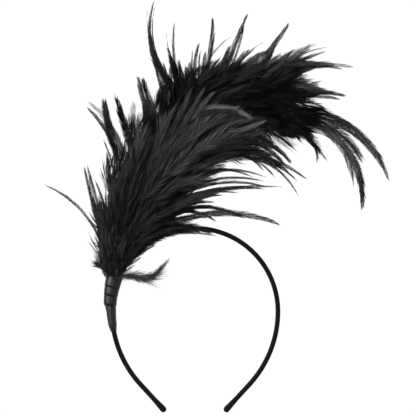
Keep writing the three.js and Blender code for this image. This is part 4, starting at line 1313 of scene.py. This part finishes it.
def add_down_and_shade_core(mesh, plume):
    """The packed down inside a plume, a closed dark form that no light comes through, which also stands in as
    painted shade deep in the plume where it shows between the feathers.
    """
    shape = bmesh.new()
    shape.from_mesh(mesh)
    finish = next(iter(shape.faces)).material_index
    rings = []
    for r in range(CORE_RINGS):
        share = r / (CORE_RINGS - 1)
        middle, _, side, wide, thick = plume.at(0.03 + 0.87 * share)
        fill = 0.03 + 0.97 * math.sqrt(1 - share**10)
        fill *= blend(0.58, 0.45, smooth_step(share, 0.45, 0.7))
        ring = []
        for i in range(CORE_SIDES):
            turn = 2 * math.pi * i / CORE_SIDES
            place = middle + side * math.cos(turn) * wide * fill
            place.z += math.sin(turn) * thick * 0.6 * fill
            ring.append(shape.verts.new(plume.keep_in(place, 0.8 * MM)))
        rings.append(ring)
    core = [shape.faces.new((*rings[0][::-1],)), shape.faces.new((*rings[-1],))]
    for a, b in zip(rings, rings[1:]):
        for i in range(CORE_SIDES):
            k = (i + 1) % CORE_SIDES
            core.append(shape.faces.new((a[i], a[k], b[k], b[i])))
    for face in core:
        face.material_index = finish
    bmesh.ops.recalc_face_normals(shape, faces=core)
    shape.to_mesh(mesh)
    shape.free()


def make_plume(hoop, binding, spray, rear):
    """A plume as two pieces: its soft body, and the feathers that stand out of it."""
    plume = Plume(hoop, binding, spray, rear)
    chance = random.Random(REAR_SEED if rear else FRONT_SEED)
    node = "rear_plume" if rear else "front_plume"
    finish = bpy.data.materials.get("dyed_coque_feather") or dyed_coque_feather(spray)
    body, inner, tips = Shafts(), Shafts(), Shafts()
    add_stems(body, plume, hoop, binding, chance)
    add_body_feathers(body, plume, chance, spray.body_feathers)
    if not rear:
        add_hem_feathers(body, plume, hoop, binding, chance, HEM_FEATHERS)
        add_mouth_feathers(body, plume, chance, MOUTH_FEATHERS)
    add_named_feathers(tips, plume, chance)
    add_fillers(inner, plume, chance, spray.fillers)
    grow_feathers(body, node + "_body", hoop, spray, finish, node, "dyed_feather")
    add_down_and_shade_core(bpy.data.objects[node + "_body"].data, plume)
    grow_feathers(inner, node + "_inner", hoop, spray, finish, node, "dyed_feather")
    fine = {"Spacing": spray.barb_spacing * 0.9, "Barb Width": 0.038, "Least Barb": 4 * MM, "Tangle": 0.16}
    fine["Tone Spread"] = 0.45
    grow_feathers(tips, node + "_tips", hoop, spray, finish, node, "dyed_feather", **fine)


def make_side_down(hoop, binding, spray):
    """The small downy feather that lies over the ribbon's edge: a dark quill with long loose barbs."""
    chance = random.Random(DOWN_SEED)
    mouth = mouth_point(hoop, binding)
    base = BAND_MIDDLE + hoop.width / 2 + 2 * binding.clearance + binding.wall + binding.lap + 0.7 * MM
    start = Vector((mouth.x, mouth.y, base))
    knots = [start + Vector(row) * spray.down_length for row in DOWN_SHAFT]
    path = [place for _, place in smooth_path(knots, 6)]
    shafts = Shafts()
    shafts.add(path, Vector((0, 0, 1)), DOWN_BARB / 2, -0.3, spray.quill * 1.5, DOWNY)
    for i in range(DOWN_TUFTS):
        first = chance.randrange(0, len(path) // 4)
        last = len(path) - chance.randrange(0, len(path) // 3)
        drift = Vector((chance.uniform(-0.5, 0.5), chance.uniform(-1, 1), chance.uniform(-1, 1.5))) * MM
        droop = Vector((0.4, 1, 0)) * chance.uniform(*DOWN_DROOP) * MM
        tuft = path[first:last]
        tuft = [place + drift + droop * (k / len(tuft)) ** 2 for k, place in enumerate(tuft)]
        vane = DOWN_BARB * chance.uniform(0.35, 1)
        facing = tilted(path, chance.gauss(0, 0.5))
        tone = 0.6 * chance.random()
        shafts.add(tuft, facing, vane, tone, spray.quill * 0.2, DOWNY, loose=1)
    loose = {
        "Spacing": 0.7 * MM,
        "Least Barb": 9 * MM,
        "Barb Width": 0.013,
        "Tangle": 0.4,
        "Clump Size": 3 * MM,
        "Angle at Root": math.radians(36),
        "Angle at Tip": math.radians(32),
    }
    finish = loose_down(spray)
    grow_feathers(shafts, "side_down", hoop, spray, finish, "downy_feather", "down_feather", **loose)


# The stage.


def make_stage():
    """A floor that glows like a light table, two soft boxes, and a camera straight over the headband."""
    floor = new_piece(
        "floor",
        [(x * FLOOR_HALF, y * FLOOR_HALF, 0) for x, y in ((-1, -1), (1, -1), (1, 1), (-1, 1))],
        faces=[(0, 1, 2, 3)],
    )
    floor.data.materials.append(light_table())
    scene = bpy.context.scene
    scene.view_settings.view_transform = "Standard"
    world = bpy.data.worlds.new("studio")
    world.use_nodes = True
    light = {"Color": (1, 1, 1, 1), "Strength": WORLD_LIGHT}
    fill(world.node_tree, world.node_tree.nodes["Background"], light)
    scene.world = world
    for name, place, size, power in SOFT_BOXES:
        lamp = bpy.data.objects.new(name, bpy.data.lights.new(name, "AREA"))
        lamp.data.shape = "DISK"
        lamp.data.size = size
        lamp.data.energy = power
        lamp.location = place
        lamp.rotation_euler = (-Vector(place)).to_track_quat("-Z", "Y").to_euler()
        scene.collection.objects.link(lamp)
    camera = bpy.data.objects.new("camera", bpy.data.cameras.new("camera"))
    camera.data.lens = LENS
    camera.data.sensor_width = SENSOR
    camera.location = (*VIEW_CENTRE, VIEW_WIDTH * LENS / SENSOR)
    scene.collection.objects.link(camera)
    scene.camera = camera


# Operators, panel and registration.


def sizes_of(scene):
    return scene.headband_hoop, scene.headband_binding, scene.headband_spray


class HEADBAND_OT_cover_band(bpy.types.Operator):
    """Covers the hoop with wound fabric"""

    bl_idname = "headband.cover_band"
    bl_label = "Cover the hoop"

    def execute(self, context):
        make_band_cover(context.scene.headband_hoop)
        return {"FINISHED"}


class HEADBAND_OT_wind_ribbon(bpy.types.Operator):
    """Winds satin ribbon round the hoop and the stems"""

    bl_idname = "headband.wind_ribbon"
    bl_label = "Wind the ribbon"

    def execute(self, context):
        make_ribbon_wrap(context.scene.headband_hoop, context.scene.headband_binding)
        return {"FINISHED"}


class HEADBAND_OT_plumes(bpy.types.Operator):
    """Grows the rear plume and the front plume that lies over it"""

    bl_idname = "headband.plumes"
    bl_label = "Grow the plumes"

    def execute(self, context):
        make_plume(*sizes_of(context.scene), rear=True)
        make_plume(*sizes_of(context.scene), rear=False)
        return {"FINISHED"}


class HEADBAND_OT_side_down(bpy.types.Operator):
    """Grows the small downy feather beside the ribbon"""

    bl_idname = "headband.side_down"
    bl_label = "Grow the downy feather"

    def execute(self, context):
        make_side_down(*sizes_of(context.scene))
        return {"FINISHED"}


class HEADBAND_OT_stage(bpy.types.Operator):
    """Sets up the floor, the light and the camera"""

    bl_idname = "headband.stage"
    bl_label = "Set the stage"

    def execute(self, context):
        make_stage()
        return {"FINISHED"}


OPERATORS = (
    HEADBAND_OT_cover_band,
    HEADBAND_OT_wind_ribbon,
    HEADBAND_OT_plumes,
    HEADBAND_OT_side_down,
    HEADBAND_OT_stage,
)


class HEADBAND_PT_parts(bpy.types.Panel):
    """Lists the headband's sizes and the operators that make it"""

    bl_label = "Feather headband"
    bl_space_type = "VIEW_3D"
    bl_region_type = "UI"
    bl_category = "Headband"

    def draw(self, context):
        for sizes in sizes_of(context.scene):
            box = self.layout.box()
            for name in sizes.bl_rna.properties.keys():
                if name not in ("rna_type", "name"):
                    box.prop(sizes, name)
        for operator in OPERATORS:
            self.layout.operator(operator.bl_idname)


SIZE_GROUPS = {"headband_hoop": HoopSizes, "headband_binding": BindingSizes, "headband_spray": SpraySizes}


def register():
    for group in (*SIZE_GROUPS.values(), *OPERATORS, HEADBAND_PT_parts):
        bpy.utils.register_class(group)
    for name, group in SIZE_GROUPS.items():
        setattr(bpy.types.Scene, name, bpy.props.PointerProperty(type=group))


def unregister():
    for name in SIZE_GROUPS:
        delattr(bpy.types.Scene, name)
    for group in reversed((*SIZE_GROUPS.values(), *OPERATORS, HEADBAND_PT_parts)):
        bpy.utils.unregister_class(group)


def main():
    register()
    bpy.ops.headband.cover_band()
    bpy.ops.headband.wind_ribbon()
    bpy.ops.headband.plumes()
    bpy.ops.headband.side_down()
    bpy.ops.headband.stage()
    bpy.context.view_layer.update()


if __name__ == "__main__":
    main()
